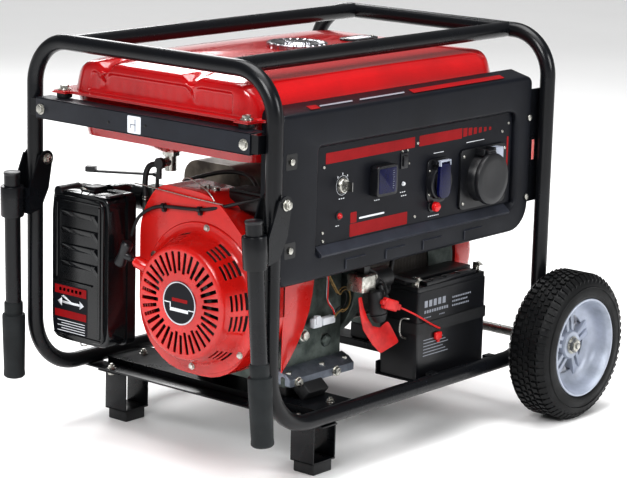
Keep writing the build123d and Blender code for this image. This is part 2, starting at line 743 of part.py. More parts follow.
def control_stand():
    """Bracket on the crankcase that carries the governor lever's pin."""
    post = rod((161, -60, 326), (161, -60, 391.5), 6)
    return post - rod((161, -60, 379), (161, -60, 393), 3.06)


def silencer():
    body = block(282, 470, 66, 192, 318, 424)
    body = fillet(body.edges().filter_by(Axis.X), 30)
    hollow = block(285, 467, 69, 189, 321, 421)
    hollow = fillet(hollow.edges().filter_by(Axis.X), 27)
    pipe_in = rod((262, 108, 350), (284, 108, 350), 15)
    flange = block(261.2, 267, 84, 132, 330, 370)
    outlet = rod((440, 190, 340), (440, 214, 340), 13)
    return (body + pipe_in + flange + outlet - hollow - rod((440, 180, 340), (440, 216, 340), 11)
            - rod((260, 108, 350), (290, 108, 350), 12))


def starter_motor():
    motor = rod((172, -179, 334), (292, -179, 334), 26)
    nose = rod((158, -173, 334), (173, -173, 334), 14)
    solenoid = rod((300, -185, 276), (352, -185, 276), 17)
    strap = block(288, 302, -192, -170, 262, 330)
    ear = block(228, 246, -165, -138.1, 300, 317)
    return motor + nose + solenoid + strap + ear


# ---------------------------------------------------------------- alternator

def stator():
    core = turned([(330, 62), (330, ALTERNATOR_R - 3), (520, ALTERNATOR_R - 3), (520, 62)])
    front = turned([(306.2, 24), (306.2, ADAPTER_R), (336, ADAPTER_R), (352, ALTERNATOR_R), (352, ALTERNATOR_R - 4),
                    (330, ALTERNATOR_R - 4), (330, 66), (322, 60), (316, 24)])
    winding = turned([(520, 66), (520, 84), (544, 80), (544, 68)])
    return core + front + winding


def rotor():
    core = turned([(336, 16), (336, 61.4), (516, 61.4), (516, 16)])
    shaft = rod((318, CRANK_Y, CRANK_Z), (586, CRANK_Y, CRANK_Z), 16)
    fan = turned([(323, 16), (323, 56), (330, 56), (334, 16)])
    return core + shaft + fan


def alternator_end_bell():
    bell = turned([(520.2, 86), (520.2, ALTERNATOR_R), (586, ALTERNATOR_R), (596, 80), (596, 0),
                   (588, 0), (588, 16.06), (566, 16.06), (566, 24), (584, 30), (584, 78), (576, 86)])
    foot = block(536, 564, -128, 32, 128, 150)
    stalks = block(538, 562, -128, -92, 148, 192) + block(538, 562, -4, 32, 148, 192)
    clear = turned([(500, 0), (500, 84), (575, 84), (575, 0)])
    return bell + ((foot + stalks) - clear)


def alternator_cover():
    shell = turned([(596.2, 70), (596.2, 92), (640, 90), (652, 78), (652, 0), (649.5, 0), (649.5, 76),
                    (638, 87.5), (598.7, 89.5), (598.7, 70)])
    return shell


# ---------------------------------------------------------------- control panel

OPENING = (116.0, 616.0, 366.0, 516.0)


def panel_bezel():
    """Deep moulded surround: sloping top, rounded right-hand corners and a recess for the plate."""
    profile = [(PANEL_Y, PANEL_LOW), (PANEL_Y, PANEL_HIGH), (-202, PANEL_HIGH + 8), (-202, PANEL_LOW)]
    plane = Plane(origin=(ex(PANEL_START), 0, 0), x_dir=(0, 1, 0), z_dir=(1, 0, 0))
    outer = extrude(plane * make_face(Polyline(profile, close=True)), PANEL_END - PANEL_START)
    uprights = outer.edges().filter_by(Axis.Y).sort_by(Axis.Z)[:2]
    outer = fillet(uprights.sort_by(Axis.X)[-1], 44)
    outer = fillet(outer.edges().filter_by(Axis.Y).sort_by(Axis.X)[0], 16)
    front = outer.faces().sort_by(Axis.Y)[0]
    outer = chamfer(front.edges(), 3)
    inner = block(PANEL_START + 3, PANEL_END - 3, PANEL_Y + 3.2, -200, PANEL_LOW + 3, PANEL_HIGH - 3)
    inner = fillet(inner.edges().filter_by(Axis.Y), 14)
    corner_fill = block(PANEL_END - 42, PANEL_END, -250, -190, PANEL_LOW, PANEL_LOW + 42)
    inner -= corner_fill
    shape = outer - inner
    shape -= block(PANEL_END - 6, PANEL_END + 1, -237.6, -190, 520, 558)
    shape -= block(PANEL_END - 6, PANEL_END + 1, PANEL_Y + 3.2, -190, PANEL_LOW + 43, 558)
    shape -= block(PANEL_START - 1, PANEL_START + 18, -218, -190, 555, 571)
    for z in PANEL_BOLT_Z:
        shape -= block(PANEL_START - 1, PANEL_START + 4, PANEL_Y + 3.1, -233.8, z - 20.3, z + 20.3)
    a0, a1, z0, z1 = OPENING
    sleeve = block(a0 - 3, a1 + 3, PANEL_Y + 1, PLATE_Y - 0.2, z0 - 3, z1 + 3)
    shape += sleeve
    shape -= block(a0, a1, PANEL_Y - 5, PLATE_Y + 5, z0, z1)
    lip = block(a0 + 8, a1 - 20, PANEL_Y - 6, PANEL_Y + 2, z0 - 10, z0 - 3)
    shape += lip
    for z in PANEL_BOLT_Z:
        for a in (50, 651):
            shape -= rod((a, -245, z), (a, -230, z), 2.7)
    return shape


def meter_box():
    return block(247, 296, PLATE_Y - 15, PLATE_Y, 426, 473)


def panel_faceplate():
    a0, a1, z0, z1 = OPENING
    plate = block(a0 - 6, a1 + 6, PLATE_Y, PLATE_Y + 2.5, z0 - 6, z1 + 6)
    plate += rod((180, PLATE_Y - 5, 452), (180, PLATE_Y + 20, 452), 11)
    plate += rod((173, PLATE_Y - 5, 406), (173, PLATE_Y, 406), 4.5)
    plate += rod((329, PLATE_Y - 3, 435), (329, PLATE_Y, 435), 3.5)
    plate += block(322, 335, PLATE_Y - 4, PLATE_Y, 462, 480)
    plate -= rod((180, PLATE_Y - 6, 452), (180, PLATE_Y + 12, 452), 5.05)
    plate -= rod((405, PLATE_Y - 2, 389), (405, PLATE_Y + 5, 389), 5.05)
    return plate


def ignition_key():
    barrel = rod((180, PLATE_Y - 6, 452), (180, PLATE_Y + 11, 452), 5.0)
    bow = block(178.9, 181.1, PLATE_Y - 20, PLATE_Y - 5.5, 445, 459)
    return barrel + bow


def reset_button():
    stem = rod((405, PLATE_Y - 9, 389), (405, PLATE_Y + 14, 389), 5.0)
    return stem + rod((405, PLATE_Y - 13, 389), (405, PLATE_Y - 6, 389), 8)


AC_SOCKET = (415.0, 427.0)
HEAVY_SOCKET = (536.0, 420.0)


def ac_socket():
    a, z = AC_SOCKET
    body = rod((a, PLATE_Y - 12, z), (a, PLATE_Y - 0.1, z), 27)
    body += block(a - 26, a + 26, PLATE_Y - 3, PLATE_Y - 0.1, z - 33, z + 36)
    body -= rod((a, PLATE_Y - 13, z), (a, PLATE_Y - 3, z), 20)
    body += block(a - 17, a - 11, PLATE_Y - 12, PLATE_Y - 3, z + 30, z + 36)
    body += block(a + 11, a + 17, PLATE_Y - 12, PLATE_Y - 3, z + 30, z + 36)
    return body - rod((a - 20, PLATE_Y - 9, z + 33), (a + 20, PLATE_Y - 9, z + 33), 1.55)


def ac_lid():
    a, z = AC_SOCKET
    lid = rod((a, PLATE_Y - 18, z), (a, PLATE_Y - 12.4, z), 25)
    lid += block(a - 10.5, a + 10.5, PLATE_Y - 18, PLATE_Y - 13, z + 18, z + 33)
    lid += rod((a - 10.5, PLATE_Y - 13, z + 33), (a + 10.5, PLATE_Y - 13, z + 33), 3.2)
    lid += block(a - 10.5, a + 10.5, PLATE_Y - 13, PLATE_Y - 7, z + 31, z + 35)
    lid += rod((a - 16.5, PLATE_Y - 9, z + 33), (a + 16.5, PLATE_Y - 9, z + 33), 1.5)
    return lid


def heavy_socket():
    a, z = HEAVY_SOCKET
    body = block(a - 62, a + 62, PLATE_Y - 4, PLATE_Y - 0.1, z - 48, z + 50)
    body = fillet(body.edges().filter_by(Axis.Y), 8)
    body += rod((a - 6, PLATE_Y - 20, z), (a - 6, PLATE_Y - 4, z), 38)
    body -= rod((a - 6, PLATE_Y - 21, z), (a - 6, PLATE_Y - 6, z), 30)
    for side in (-1, 1):
        body += block(a - 6 + side * 14 - 3, a - 6 + side * 14 + 3, PLATE_Y - 20, PLATE_Y - 3, z + 40, z + 49)
    return body - rod((a - 30, PLATE_Y - 16, z + 45), (a + 20, PLATE_Y - 16, z + 45), 2.05)


def heavy_lid():
    a, z = HEAVY_SOCKET
    lid = rod((a - 6, PLATE_Y - 30, z), (a - 6, PLATE_Y - 20.4, z), 42)
    lid = chamfer(lid.faces().sort_by(Axis.Y)[0].edges(), 4)
    lid += block(a - 16, a + 4, PLATE_Y - 26, PLATE_Y - 20.4, z + 34, z + 44)
    lid += block(a - 16, a + 4, PLATE_Y - 24, PLATE_Y - 13, z + 42, z + 48)
    lid += rod((a - 22.5, PLATE_Y - 16, z + 45), (a + 10.5, PLATE_Y - 16, z + 45), 2.0)
    return lid


# ---------------------------------------------------------------- battery

BATTERY = (388.0, 569.0, -225.0, -148.0, 103.0, 262.0)


def battery_case():
    a0, a1, y0, y1, z0, z1 = BATTERY
    case = block(a0, a1, y0, y1, z0, z1 - 14)
    case += block(a0 + 1.5, a1 - 1.5, y0 + 1.5, y1 - 1.5, z1 - 14, z1)
    case -= block(a0 + 20, a1 - 20, y0 + 18, y1 + 5, z1 - 8, z1 + 5)
    for a in (a0 + 9, a1 - 9):
        case += block(a - 6, a + 6, y0 + 4, y0 + 16, z1, z1 + 9)
    return case


def battery_strap():
    a0, a1, y0, y1, z0, z1 = BATTERY
    z = 188
    outer = block(a0 - 2.6, a1 + 2.6, y0 - 2.6, y1 + 2.6, z - 9, z + 9)
    inner = block(a0 - 0.1, a1 + 0.1, y0 - 0.1, y1 + 0.1, z - 10, z + 10)
    return outer - inner


def battery_leads():
    """Lead from the battery's left terminal to the starter's solenoid."""
    points = [(390.9, -215, 266.5), (378, -215, 266.5), (366, -185, 276), (352.1, -185, 276)]
    return cord("starter lead", points, 3.2)


def main():
    keep("engine_end_hoop", hoop(0, FRAME_LENGTH / 2 - 0.2))
    keep("wheel_end_hoop", hoop(FRAME_LENGTH, FRAME_LENGTH / 2 + 0.2))
    keep("top_rails", top_rails())
    keep("engine_cross_member", engine_cross_member())
    keep("alternator_cross_member", alternator_cross_member())
    keep("tank_bars", tank_bar(-24, 1), tank_bar(662.5, -1))
    keep("foot_brackets", foot_bracket(-1), foot_bracket(1))
    keep("foot_pads", foot_pad(-1), foot_pad(1))
    keep("welded_brackets", welded_brackets())
    keep("frame_bolts", frame_bolts(), tank_bolts())
    keep("axle", axle())
    near_tyre = mirrored_y(tyre())
    near_rim = mirrored_y(rim())
    keep("near_tyre", near_tyre)
    keep("far_tyre", tyre())
    keep("near_rim", near_rim)
    keep("far_rim", rim())
    for name, side in (("near", -1), ("far", 1)):
        keep(name + "_handle_arm", handle_arm(side))
        keep(name + "_handle_grip", handle_grip(side))
    keep("tank_upper_shell", tank_upper())
    keep("tank_lower_shell", tank_lower())
    keep("rubber_mounts", rubber_mounts())
    keep("fuel_cap", fuel_cap())
    keep("fuel_gauge", fuel_gauge())
    keep("fuel_cock", fuel_cock())
    keep("fuel_cock_lever", fuel_cock_lever())
    keep("fuel_hose", fuel_hose())
    keep("engine_block", engine_block() + control_stand())
    keep("cylinder_head", cylinder_head())
    keep("rocker_cover", rocker_cover())
    keep("crankshaft", crankshaft())
    keep("flywheel_fan", flywheel_fan())
    keep("recoil_pulley", starter_cup())
    keep("fan_shroud", fan_shroud())
    keep("recoil_housing", recoil_housing(), recoil_badge())
    keep("recoil_grip", recoil_grip())
    keep("air_cleaner_cover", air_cleaner_cover())
    keep("air_cleaner_base", air_cleaner_base())
    keep("air_cleaner_element", air_cleaner_element())
    keep("intake_elbow", intake_elbow())
    keep("carburettor", carburettor())
    keep("choke_lever", choke_lever())
    keep("governor_lever", governor_lever())
    keep("silencer", silencer())
    keep("starter_motor", starter_motor())
    keep("stator", stator())
    keep("rotor", rotor())
    keep("alternator_end_bell", alternator_end_bell())
    keep("alternator_cover", alternator_cover())
    keep("panel_bezel", panel_bezel())
    keep("panel_faceplate", panel_faceplate(), meter_box())
    keep("ignition_key", ignition_key())
    keep("reset_button", reset_button())
    keep("ac_socket", ac_socket())
    keep("ac_lid", ac_lid())
    keep("heavy_socket", heavy_socket())
    keep("heavy_lid", heavy_lid())
    keep("battery", battery_case())
    keep("battery_strap", battery_strap())
    keep("starter_lead", battery_leads())
    os.makedirs("parts", exist_ok=True)
    for name, solids in PARTS.items():
        shape = solids[0] if len(solids) == 1 else Compound(children=solids)
        export_step(shape, f"parts/{name}.step")
    print(len(PARTS), "nodes")


main()
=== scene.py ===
import math

import bmesh
import bpy
from mathutils import Matrix, Vector


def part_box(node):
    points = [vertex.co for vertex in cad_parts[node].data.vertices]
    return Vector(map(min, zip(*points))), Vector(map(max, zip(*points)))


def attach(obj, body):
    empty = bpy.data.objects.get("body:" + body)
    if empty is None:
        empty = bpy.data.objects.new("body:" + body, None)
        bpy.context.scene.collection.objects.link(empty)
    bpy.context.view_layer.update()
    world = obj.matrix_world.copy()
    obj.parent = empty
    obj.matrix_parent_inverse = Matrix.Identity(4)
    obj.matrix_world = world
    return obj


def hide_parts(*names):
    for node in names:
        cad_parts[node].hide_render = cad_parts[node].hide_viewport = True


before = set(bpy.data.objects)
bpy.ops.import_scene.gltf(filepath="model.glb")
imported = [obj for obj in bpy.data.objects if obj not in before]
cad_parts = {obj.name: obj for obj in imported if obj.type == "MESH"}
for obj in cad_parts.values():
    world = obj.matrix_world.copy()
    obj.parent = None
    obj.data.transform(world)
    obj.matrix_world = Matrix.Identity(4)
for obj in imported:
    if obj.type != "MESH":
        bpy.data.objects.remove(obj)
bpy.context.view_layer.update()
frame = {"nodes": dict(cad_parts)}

bl_info = {
    "name": "Open-Frame Generator",
    "version": (1, 0, 0),
    "blender": (4, 5, 0),
    "location": "3D View > Sidebar > Generator",
    "description": "Builds the visible pieces and finishes of an open-frame generator around its fixed frame",
    "category": "Object",
}

# Pieces are modelled in millimetres by station, width and height. Station zero is the
# engine-end hoop's plane, width is the frame's Y and height its Z.
TUBE_R = 12.7
STATION_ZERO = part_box("engine_end_hoop")[0].x + TUBE_R / 1000
TO_FRAME = Matrix.Translation((STATION_ZERO, 0, 0)) @ Matrix.Scale(0.001, 4)

MAIN = "generator"
# Drawn spacing of the stator's laminations.
PLATE_PITCH = 2.0
CRANK = Vector((0, -48, 264))
WHEEL_STATION = 691.0
WHEEL_R = 124.5
FOOT_Y = 202.0
# Outer face of each tank bar and the way its flanges point.
TANK_BARS = ((-24.0, 1), (662.5, -1))
TANK_CORNERS = ((6, -190), (6, 190), (636, -190), (636, 190))
CAP_STATION = 338.0
PANEL_Y = -240.0
PLATE_Y = -231.0
PANEL_BOLT_A = 50.0
PANEL_BOLT_Z = (372.0, 505.0)


# ------------------------------------------------------------------ sizes and colours

def linear(code):
    """Turn an sRGB hex colour into linear RGBA."""
    parts = [int(code[i:i + 2], 16) / 255 for i in (1, 3, 5)]
    return tuple(c / 12.92 if c <= 0.04045 else ((c + 0.055) / 1.055) ** 2.4 for c in parts) + (1.0,)


def colour_property(name, description, code):
    return bpy.props.FloatVectorProperty(name=name, description=description, subtype="COLOR", size=4,
                                         min=0.0, max=1.0, default=linear(code))


def length_property(name, description, millimetres):
    return bpy.props.FloatProperty(name=name, description=description, unit="LENGTH", min=0.0,
                                   default=millimetres / 1000)


class GeneratorColours(bpy.types.PropertyGroup):
    """Colours of the painted and moulded pieces."""
    frame: colour_property("Frame", "Powder coat on the tube frame", "#0F1115")
    tank: colour_property("Tank", "Enamel on the fuel tank", "#B41217")
    engine: colour_property("Engine", "Enamel on the fan shroud and the recoil housing", "#C81C16")
    panel: colour_property("Panel", "Moulded control panel", "#10131B")
    wheel: colour_property("Wheel", "Paint on the wheel centres", "#AEB4C2")


class GeneratorSizes(bpy.types.PropertyGroup):
    """Sizes that a user might change."""
    sheet_edge: length_property("Sheet edge", "Rounding on folded sheet metal", 0.8)
    panel_edge: length_property("Panel edge", "Rounding along the outside of the moulded panel", 6.5)
    tread_depth: length_property("Tread depth", "Depth of the tyre's tread blocks", 3.4)
    tread_pitches: bpy.props.IntProperty(name="Tread pitches", description="Tread blocks around each tyre",
                                         min=20, max=90, default=60)


# ------------------------------------------------------------------ materials

MATERIALS = {}


def add_node(tree, kind, settings=None, links=None):
    """Add one node, set its properties and sockets, and link its inputs."""
    made = tree.nodes.new(kind)
    for key, value in (settings or {}).items():
        if isinstance(key, str) and hasattr(made, key):
            setattr(made, key, value)
        else:
            made.inputs[key].default_value = value
    for key, source in (links or {}).items():
        tree.links.new(source, made.inputs[key])
    return made


def surface(name, light, dark, patch, grain, depth, rough, metallic=0.0, ior=1.5, coat=0.0):
    """A finish with patchy colour and gloss and a fine grain; patch, grain and depth are in millimetres."""
    material = bpy.data.materials.new(name)
    material.use_nodes = True
    tree = material.node_tree
    shader = tree.nodes["Principled BSDF"]
    place = add_node(tree, "ShaderNodeTexCoord")
    patches = add_node(tree, "ShaderNodeTexNoise", {"Scale": 1000 / patch, "Detail": 5.0, "Roughness": 0.6},
                       {"Vector": place.outputs["Object"]})
    spread_out = add_node(tree, "ShaderNodeMapRange",
                          {"From Min": 0.35, "From Max": 0.65, "To Min": 0.0, "To Max": 1.0},
                          {"Value": patches.outputs["Fac"]})
    tint = add_node(tree, "ShaderNodeMix", {"data_type": "RGBA", 6: light, 7: dark},
                    {"Factor": spread_out.outputs["Result"]})
    gloss = add_node(tree, "ShaderNodeMapRange",
                     {"From Min": 0.0, "From Max": 1.0, "To Min": rough[0], "To Max": rough[1]},
                     {"Value": spread_out.outputs["Result"]})
    fine = add_node(tree, "ShaderNodeTexNoise", {"Scale": 1000 / grain, "Detail": 3.0, "Roughness": 0.55},
                    {"Vector": place.outputs["Object"]})
    relief = add_node(tree, "ShaderNodeBump", {"Strength": 1.0, "Distance": depth / 1000},
                      {"Height": fine.outputs["Fac"]})
    tree.links.new(tint.outputs[2], shader.inputs["Base Color"])
    tree.links.new(gloss.outputs["Result"], shader.inputs["Roughness"])
    tree.links.new(relief.outputs["Normal"], shader.inputs["Normal"])
    shader.inputs["Metallic"].default_value = metallic
    shader.inputs["IOR"].default_value = ior
    shader.inputs["Coat Weight"].default_value = coat
    shader.inputs["Coat Roughness"].default_value = 0.06
    MATERIALS[name] = material
    return material


def make_materials(colours):
    """Every finish on the object, each from what the real piece is made of."""
    # Powder coat: baked polymer skin, semi-gloss, with an orange-peel ripple about 2 mm wide.
    surface("black_powder_coat", tuple(colours.frame), linear("#0A0B0E"), 90, 2.2, 0.012, (0.24, 0.34),
            ior=1.36, coat=0.1)
    # Semi-matt black enamel on the folded tank bars, painted greyer than the tube as painted light on their
    # lit front faces.
    surface("black_enamel_painted_light", linear("#20232B"), linear("#191B22"), 70, 1.8, 0.012, (0.30, 0.40), ior=1.4)
    # Tank enamel: gloss stoved paint over pressed steel, faint ripple from the press.
    surface("red_tank_enamel", tuple(colours.tank), linear("#9E0F14"), 140, 3.0, 0.006, (0.16, 0.26),
            coat=0.6)
    # Engine enamel: brighter gloss red over thin pressings, slightly dusty in the folds.
    surface("red_engine_enamel", tuple(colours.engine), linear("#AE1511"), 80, 2.5, 0.010, (0.20, 0.32),
            coat=0.4)
    # Textured ABS: moulded panel with a spark-eroded grain about 0.8 mm.
    surface("textured_abs", tuple(colours.panel), linear("#0C0E14"), 120, 0.9, 0.030, (0.38, 0.48), ior=1.32)
    # The same ABS, lighter, on the lip and ribs: a painted highlight where their upward faces catch the
    # light.
    surface("abs_painted_highlight", linear("#34373F"), linear("#282A32"), 60, 0.9, 0.020, (0.30, 0.40), ior=1.4)
    # Smooth ABS: polished mould, glossier, for the air cleaner.
    surface("polished_abs", linear("#0F1114"), linear("#0A0B0D"), 70, 4.0, 0.010, (0.14, 0.24))
    # Switch plate and labels: matt printed film, black ground with red, white and grey inks.
    surface("printed_film_black", linear("#0E1018"), linear("#0B0D14"), 60, 0.7, 0.010, (0.36, 0.44), ior=1.3)
    surface("printed_film_red", linear("#8E0F15"), linear("#800D12"), 60, 0.7, 0.008, (0.42, 0.50), ior=1.25)
    surface("printed_film_white", linear("#D9DBDF"), linear("#C6C9CE"), 60, 0.7, 0.006, (0.35, 0.45))
    surface("printed_film_grey", linear("#8A8E96"), linear("#787C84"), 60, 0.7, 0.006, (0.35, 0.45))
    # Moulded nylon: sockets, switch bodies, clips and plugs, satin with a fine grain.
    surface("moulded_nylon", linear("#141519"), linear("#0E0F12"), 40, 0.8, 0.015, (0.30, 0.40))
    # Tinted acrylic: navy meter and socket windows, polished.
    surface("navy_acrylic", linear("#080C3A"), linear("#05082A"), 40, 5.0, 0.002, (0.12, 0.2), ior=1.35)
    # Rubber grip: compression moulded, matt with a leathery grain.
    surface("grip_rubber", linear("#171C1E"), linear("#101416"), 50, 1.6, 0.10, (0.50, 0.66), ior=1.4)
    # Black rubber: feet, mounts, battery band, hose and cable sleeves.
    surface("moulded_rubber", linear("#1B1C1E"), linear("#121315"), 40, 1.2, 0.05, (0.46, 0.62))
    # Tyre compound: carbon-black rubber with a little dust in the tread.
    surface("tyre_rubber", linear("#0E0F11"), linear("#08090A"), 35, 1.5, 0.08, (0.40, 0.56), ior=1.33)
    # Wheel paint: fine silver-grey coat on the wheel centres and the sockets' bright metal parts.
    surface("silver_wheel_paint", tuple(colours.wheel), linear("#8F959F"), 60, 0.8, 0.020, (0.34, 0.46),
            metallic=0.25)
    # Chrome plate over a die-cast cap: mirror bright with faint haze.
    surface("chrome_plate", linear("#C4C4C8"), linear("#A8A8AE"), 30, 6.0, 0.004, (0.10, 0.18), metallic=1.0)
    # Zinc plate: bright passivated fasteners, slightly cloudy.
    surface("zinc_plate", linear("#C9C8C2"), linear("#A7A69F"), 8, 0.9, 0.012, (0.22, 0.38), metallic=1.0)
    # Aluminium castings: the darker crankcase finish and the paler foot, grain about 1 mm.
    surface("cast_aluminium", linear("#626A66"), linear("#434B48"), 26, 1.1, 0.08, (0.42, 0.58), metallic=0.8)
    surface("pale_cast_aluminium", linear("#8A909A"), linear("#6A707A"), 30, 1.0, 0.06, (0.36, 0.5),
            metallic=0.85)
    # Turned steel: crankshaft and axle ends.
    surface("turned_steel", linear("#9A9A98"), linear("#7E7E7C"), 20, 0.6, 0.010, (0.24, 0.36), metallic=1.0)
    # Heat-stained steel sheet on the silencer.
    surface("heated_steel", linear("#6E675E"), linear("#4A443F"), 45, 1.4, 0.03, (0.36, 0.54), metallic=0.9)
    # Satin black paint on the starter motor, the ignition module and small dark fittings; also the painted
    # shade in the panel's screw pockets and the end cover's vent slots.
    surface("satin_black_paint", linear("#131416"), linear("#0D0E0F"), 50, 1.4, 0.02, (0.32, 0.44))
    # Stacked laminations: 0.5 mm plates, drawn four times as coarse so they can be seen.
    plates = surface("steel_laminations", linear("#4B4642"), linear("#35312E"), 30, 1.0, 0.02, (0.40, 0.56),
                     metallic=0.8)
    tree = plates.node_tree
    place = add_node(tree, "ShaderNodeTexCoord")
    lines = add_node(tree, "ShaderNodeTexWave", {"Scale": 1000 / PLATE_PITCH / 6.3, "bands_direction": "X"},
                     {"Vector": place.outputs["Object"]})
    shader = tree.nodes["Principled BSDF"]
    old = shader.inputs["Normal"].links[0].from_socket
    ridges = add_node(tree, "ShaderNodeBump", {"Strength": 1.0, "Distance": 0.0003},
                      {"Height": lines.outputs["Fac"], "Normal": old})
    tree.links.new(ridges.outputs["Normal"], shader.inputs["Normal"])
    # Enamelled copper wire in the end windings.
    surface("copper_wire", linear("#8A4A22"), linear("#6B3517"), 12, 1.2, 0.15, (0.28, 0.42), metallic=0.7)
    # Pleated filter paper.
    surface("filter_paper", linear("#CBBF9C"), linear("#B5A987"), 20, 1.0, 0.05, (0.80, 0.92))
    # Polypropylene battery case, slightly shiny.
    surface("polypropylene", linear("#121317"), linear("#0C0D10"), 60, 1.1, 0.012, (0.28, 0.38))
    # Soft red PVC: wire jackets, fuse holder and terminal flap.
    surface("red_pvc", linear("#C81E1E"), linear("#AA1616"), 20, 1.5, 0.01, (0.34, 0.46))
    # Red switch caps: gloss moulding.
    surface("red_moulding", linear("#C8171B"), linear("#A81216"), 20, 2.0, 0.004, (0.18, 0.28))
    # Paper sticker on the tank bar.
    surface("sticker_paper", linear("#DDE0E6"), linear("#CBCFD6"), 12, 0.9, 0.006, (0.42, 0.52))
    # Reflective strip: prismatic red film.
    surface("reflector_film", linear("#E08A86"), linear("#D36F6C"), 6, 1.2, 0.05, (0.16, 0.24), coat=0.5)
    # Yellow-tinted wire insulation.
    surface("tan_wire", linear("#8F7440"), linear("#6E5830"), 10, 1.0, 0.01, (0.4, 0.5))


def paint_node(node, material):
    """Give a CAD node its finish."""
    thing = frame["nodes"][node]
    thing.data.materials.clear()
    thing.data.materials.append(MATERIALS[material])


# ------------------------------------------------------------------ mesh helpers

def edges_of(verts):
    return list({edge for vert in verts for edge in vert.link_edges})


def bevel(bm, edges, size, segments=2):
    if size > 0 and edges:
        bmesh.ops.bevel(bm, geom=edges, offset=size, offset_type="OFFSET", segments=segments, profile=0.5,
                        affect="EDGES", material=-1, clamp_overlap=True)


def slab(bm, low, high, edge=0.8, segments=2):
    """Block between two corners, with rounded edges."""
    low, high = Vector(low), Vector(high)
    verts = bmesh.ops.create_cube(bm, size=1)["verts"]
    bmesh.ops.scale(bm, vec=high - low, verts=verts)
    bmesh.ops.translate(bm, vec=(low + high) / 2, verts=verts)
    bevel(bm, edges_of(verts), edge, segments)


def facing(direction):
    return Vector(direction).normalized().to_track_quat("Z", "Y").to_matrix().to_4x4()


def rod(bm, start, end, r, end_r=None, steps=24, edge=0.0, segments=2):
    """Round bar, tapered if end_r is given."""
    start, end = Vector(start), Vector(end)
    place = Matrix.Translation((start + end) / 2) @ facing(end - start)
    verts = bmesh.ops.create_cone(bm, cap_ends=True, segments=steps, radius1=r,
                                  radius2=r if end_r is None else end_r, depth=(end - start).length,
                                  matrix=place)["verts"]
    rims = [e for e in edges_of(verts) if any(len(f.verts) == steps and steps > 4 for f in e.link_faces)]
    bevel(bm, rims, edge, segments)


def hexagon(bm, centre, direction, across, height, edge=0.6):
    """Hex head with a washer face under it; direction points out of the surface."""
    direction = Vector(direction).normalized()
    centre = Vector(centre)
    rod(bm, centre, centre + direction * height, across / 2 / math.cos(math.radians(30)), steps=6, edge=edge)
    rod(bm, centre, centre + direction * 1.2, across * 0.72, steps=24, edge=0.3)


def prism(bm, points, push, corners=None, edge=0.8, segments=2, corner_segments=6):
    """Flat outline pushed into a block; corners maps a point's index to its rounding."""
    push = Vector(push)
    verts = [bm.verts.new(p) for p in points]
    face = bm.faces.new(verts)
    made = bmesh.ops.extrude_face_region(bm, geom=[face])["geom"]
    moved = [g for g in made if isinstance(g, bmesh.types.BMVert)]
    bmesh.ops.translate(bm, vec=push, verts=moved)
    everything = set(verts) | set(moved)
    bmesh.ops.recalc_face_normals(bm, faces=list({f for v in everything for f in v.link_faces}))
    faces = {f for v in everything for f in v.link_faces}
    sides = []
    for i, radius in (corners or {}).items():
        side = [e for e in verts[i].link_edges if e.other_vert(verts[i]) in set(moved)]
        sides.append((side, radius))
    for side, radius in sides:
        done = bmesh.ops.bevel(bm, geom=side, offset=radius, offset_type="OFFSET", segments=corner_segments,
                               profile=0.5, affect="EDGES", material=-1, clamp_overlap=True)
        faces |= set(done["faces"])
    if edge > 0:
        faces = [f for f in faces if f.is_valid]
        flat = [e for f in faces for e in f.edges
                if abs((e.verts[0].co - e.verts[1].co).dot(push.normalized())) < 0.001]
        bevel(bm, list(set(flat)), edge, segments)


def turned(bm, profile, origin, axis, steps=48, closed=False):
    """Spin a profile of (radius, distance along the axis) points."""
    axis = Vector(axis).normalized()
    origin = Vector(origin)
    side = axis.orthogonal().normalized()
    verts = [bm.verts.new(origin + side * r + axis * d) for r, d in profile]
    edges = [bm.edges.new((a, b)) for a, b in zip(verts, verts[1:])]
    if closed:
        edges.append(bm.edges.new((verts[-1], verts[0])))
    bmesh.ops.spin(bm, geom=verts + edges, cent=origin, axis=axis, dvec=(0, 0, 0), angle=math.radians(360),
                   steps=steps, use_merge=True, use_normal_flip=False, use_duplicate=False)


def keep_piece(bm, name, material, body=MAIN, stands_for=(), sharp=35.0, wall=0.0, levels=0):
    """Turn a mesh in millimetres into a finished piece that rides on a body."""
    bmesh.ops.remove_doubles(bm, verts=bm.verts, dist=0.005)
    bmesh.ops.recalc_face_normals(bm, faces=bm.faces)
    bmesh.ops.transform(bm, matrix=TO_FRAME, verts=bm.verts)
    mesh = bpy.data.meshes.new(name)
    bm.to_mesh(mesh)
    bm.free()
    mesh.materials.append(MATERIALS[material])
    mesh.shade_smooth()
    mesh.set_sharp_from_angle(angle=math.radians(sharp))
    piece = bpy.data.objects.new(name, mesh)
    bpy.context.scene.collection.objects.link(piece)
    if wall:
        solid = piece.modifiers.new("Wall", "SOLIDIFY")
        solid.thickness = wall / 1000
        solid.offset = -1
    if levels:
        smooth = piece.modifiers.new("Smooth", "SUBSURF")
        smooth.levels = levels
        smooth.render_levels = levels
    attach(piece, body)
    if stands_for:
        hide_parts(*stands_for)
    return piece


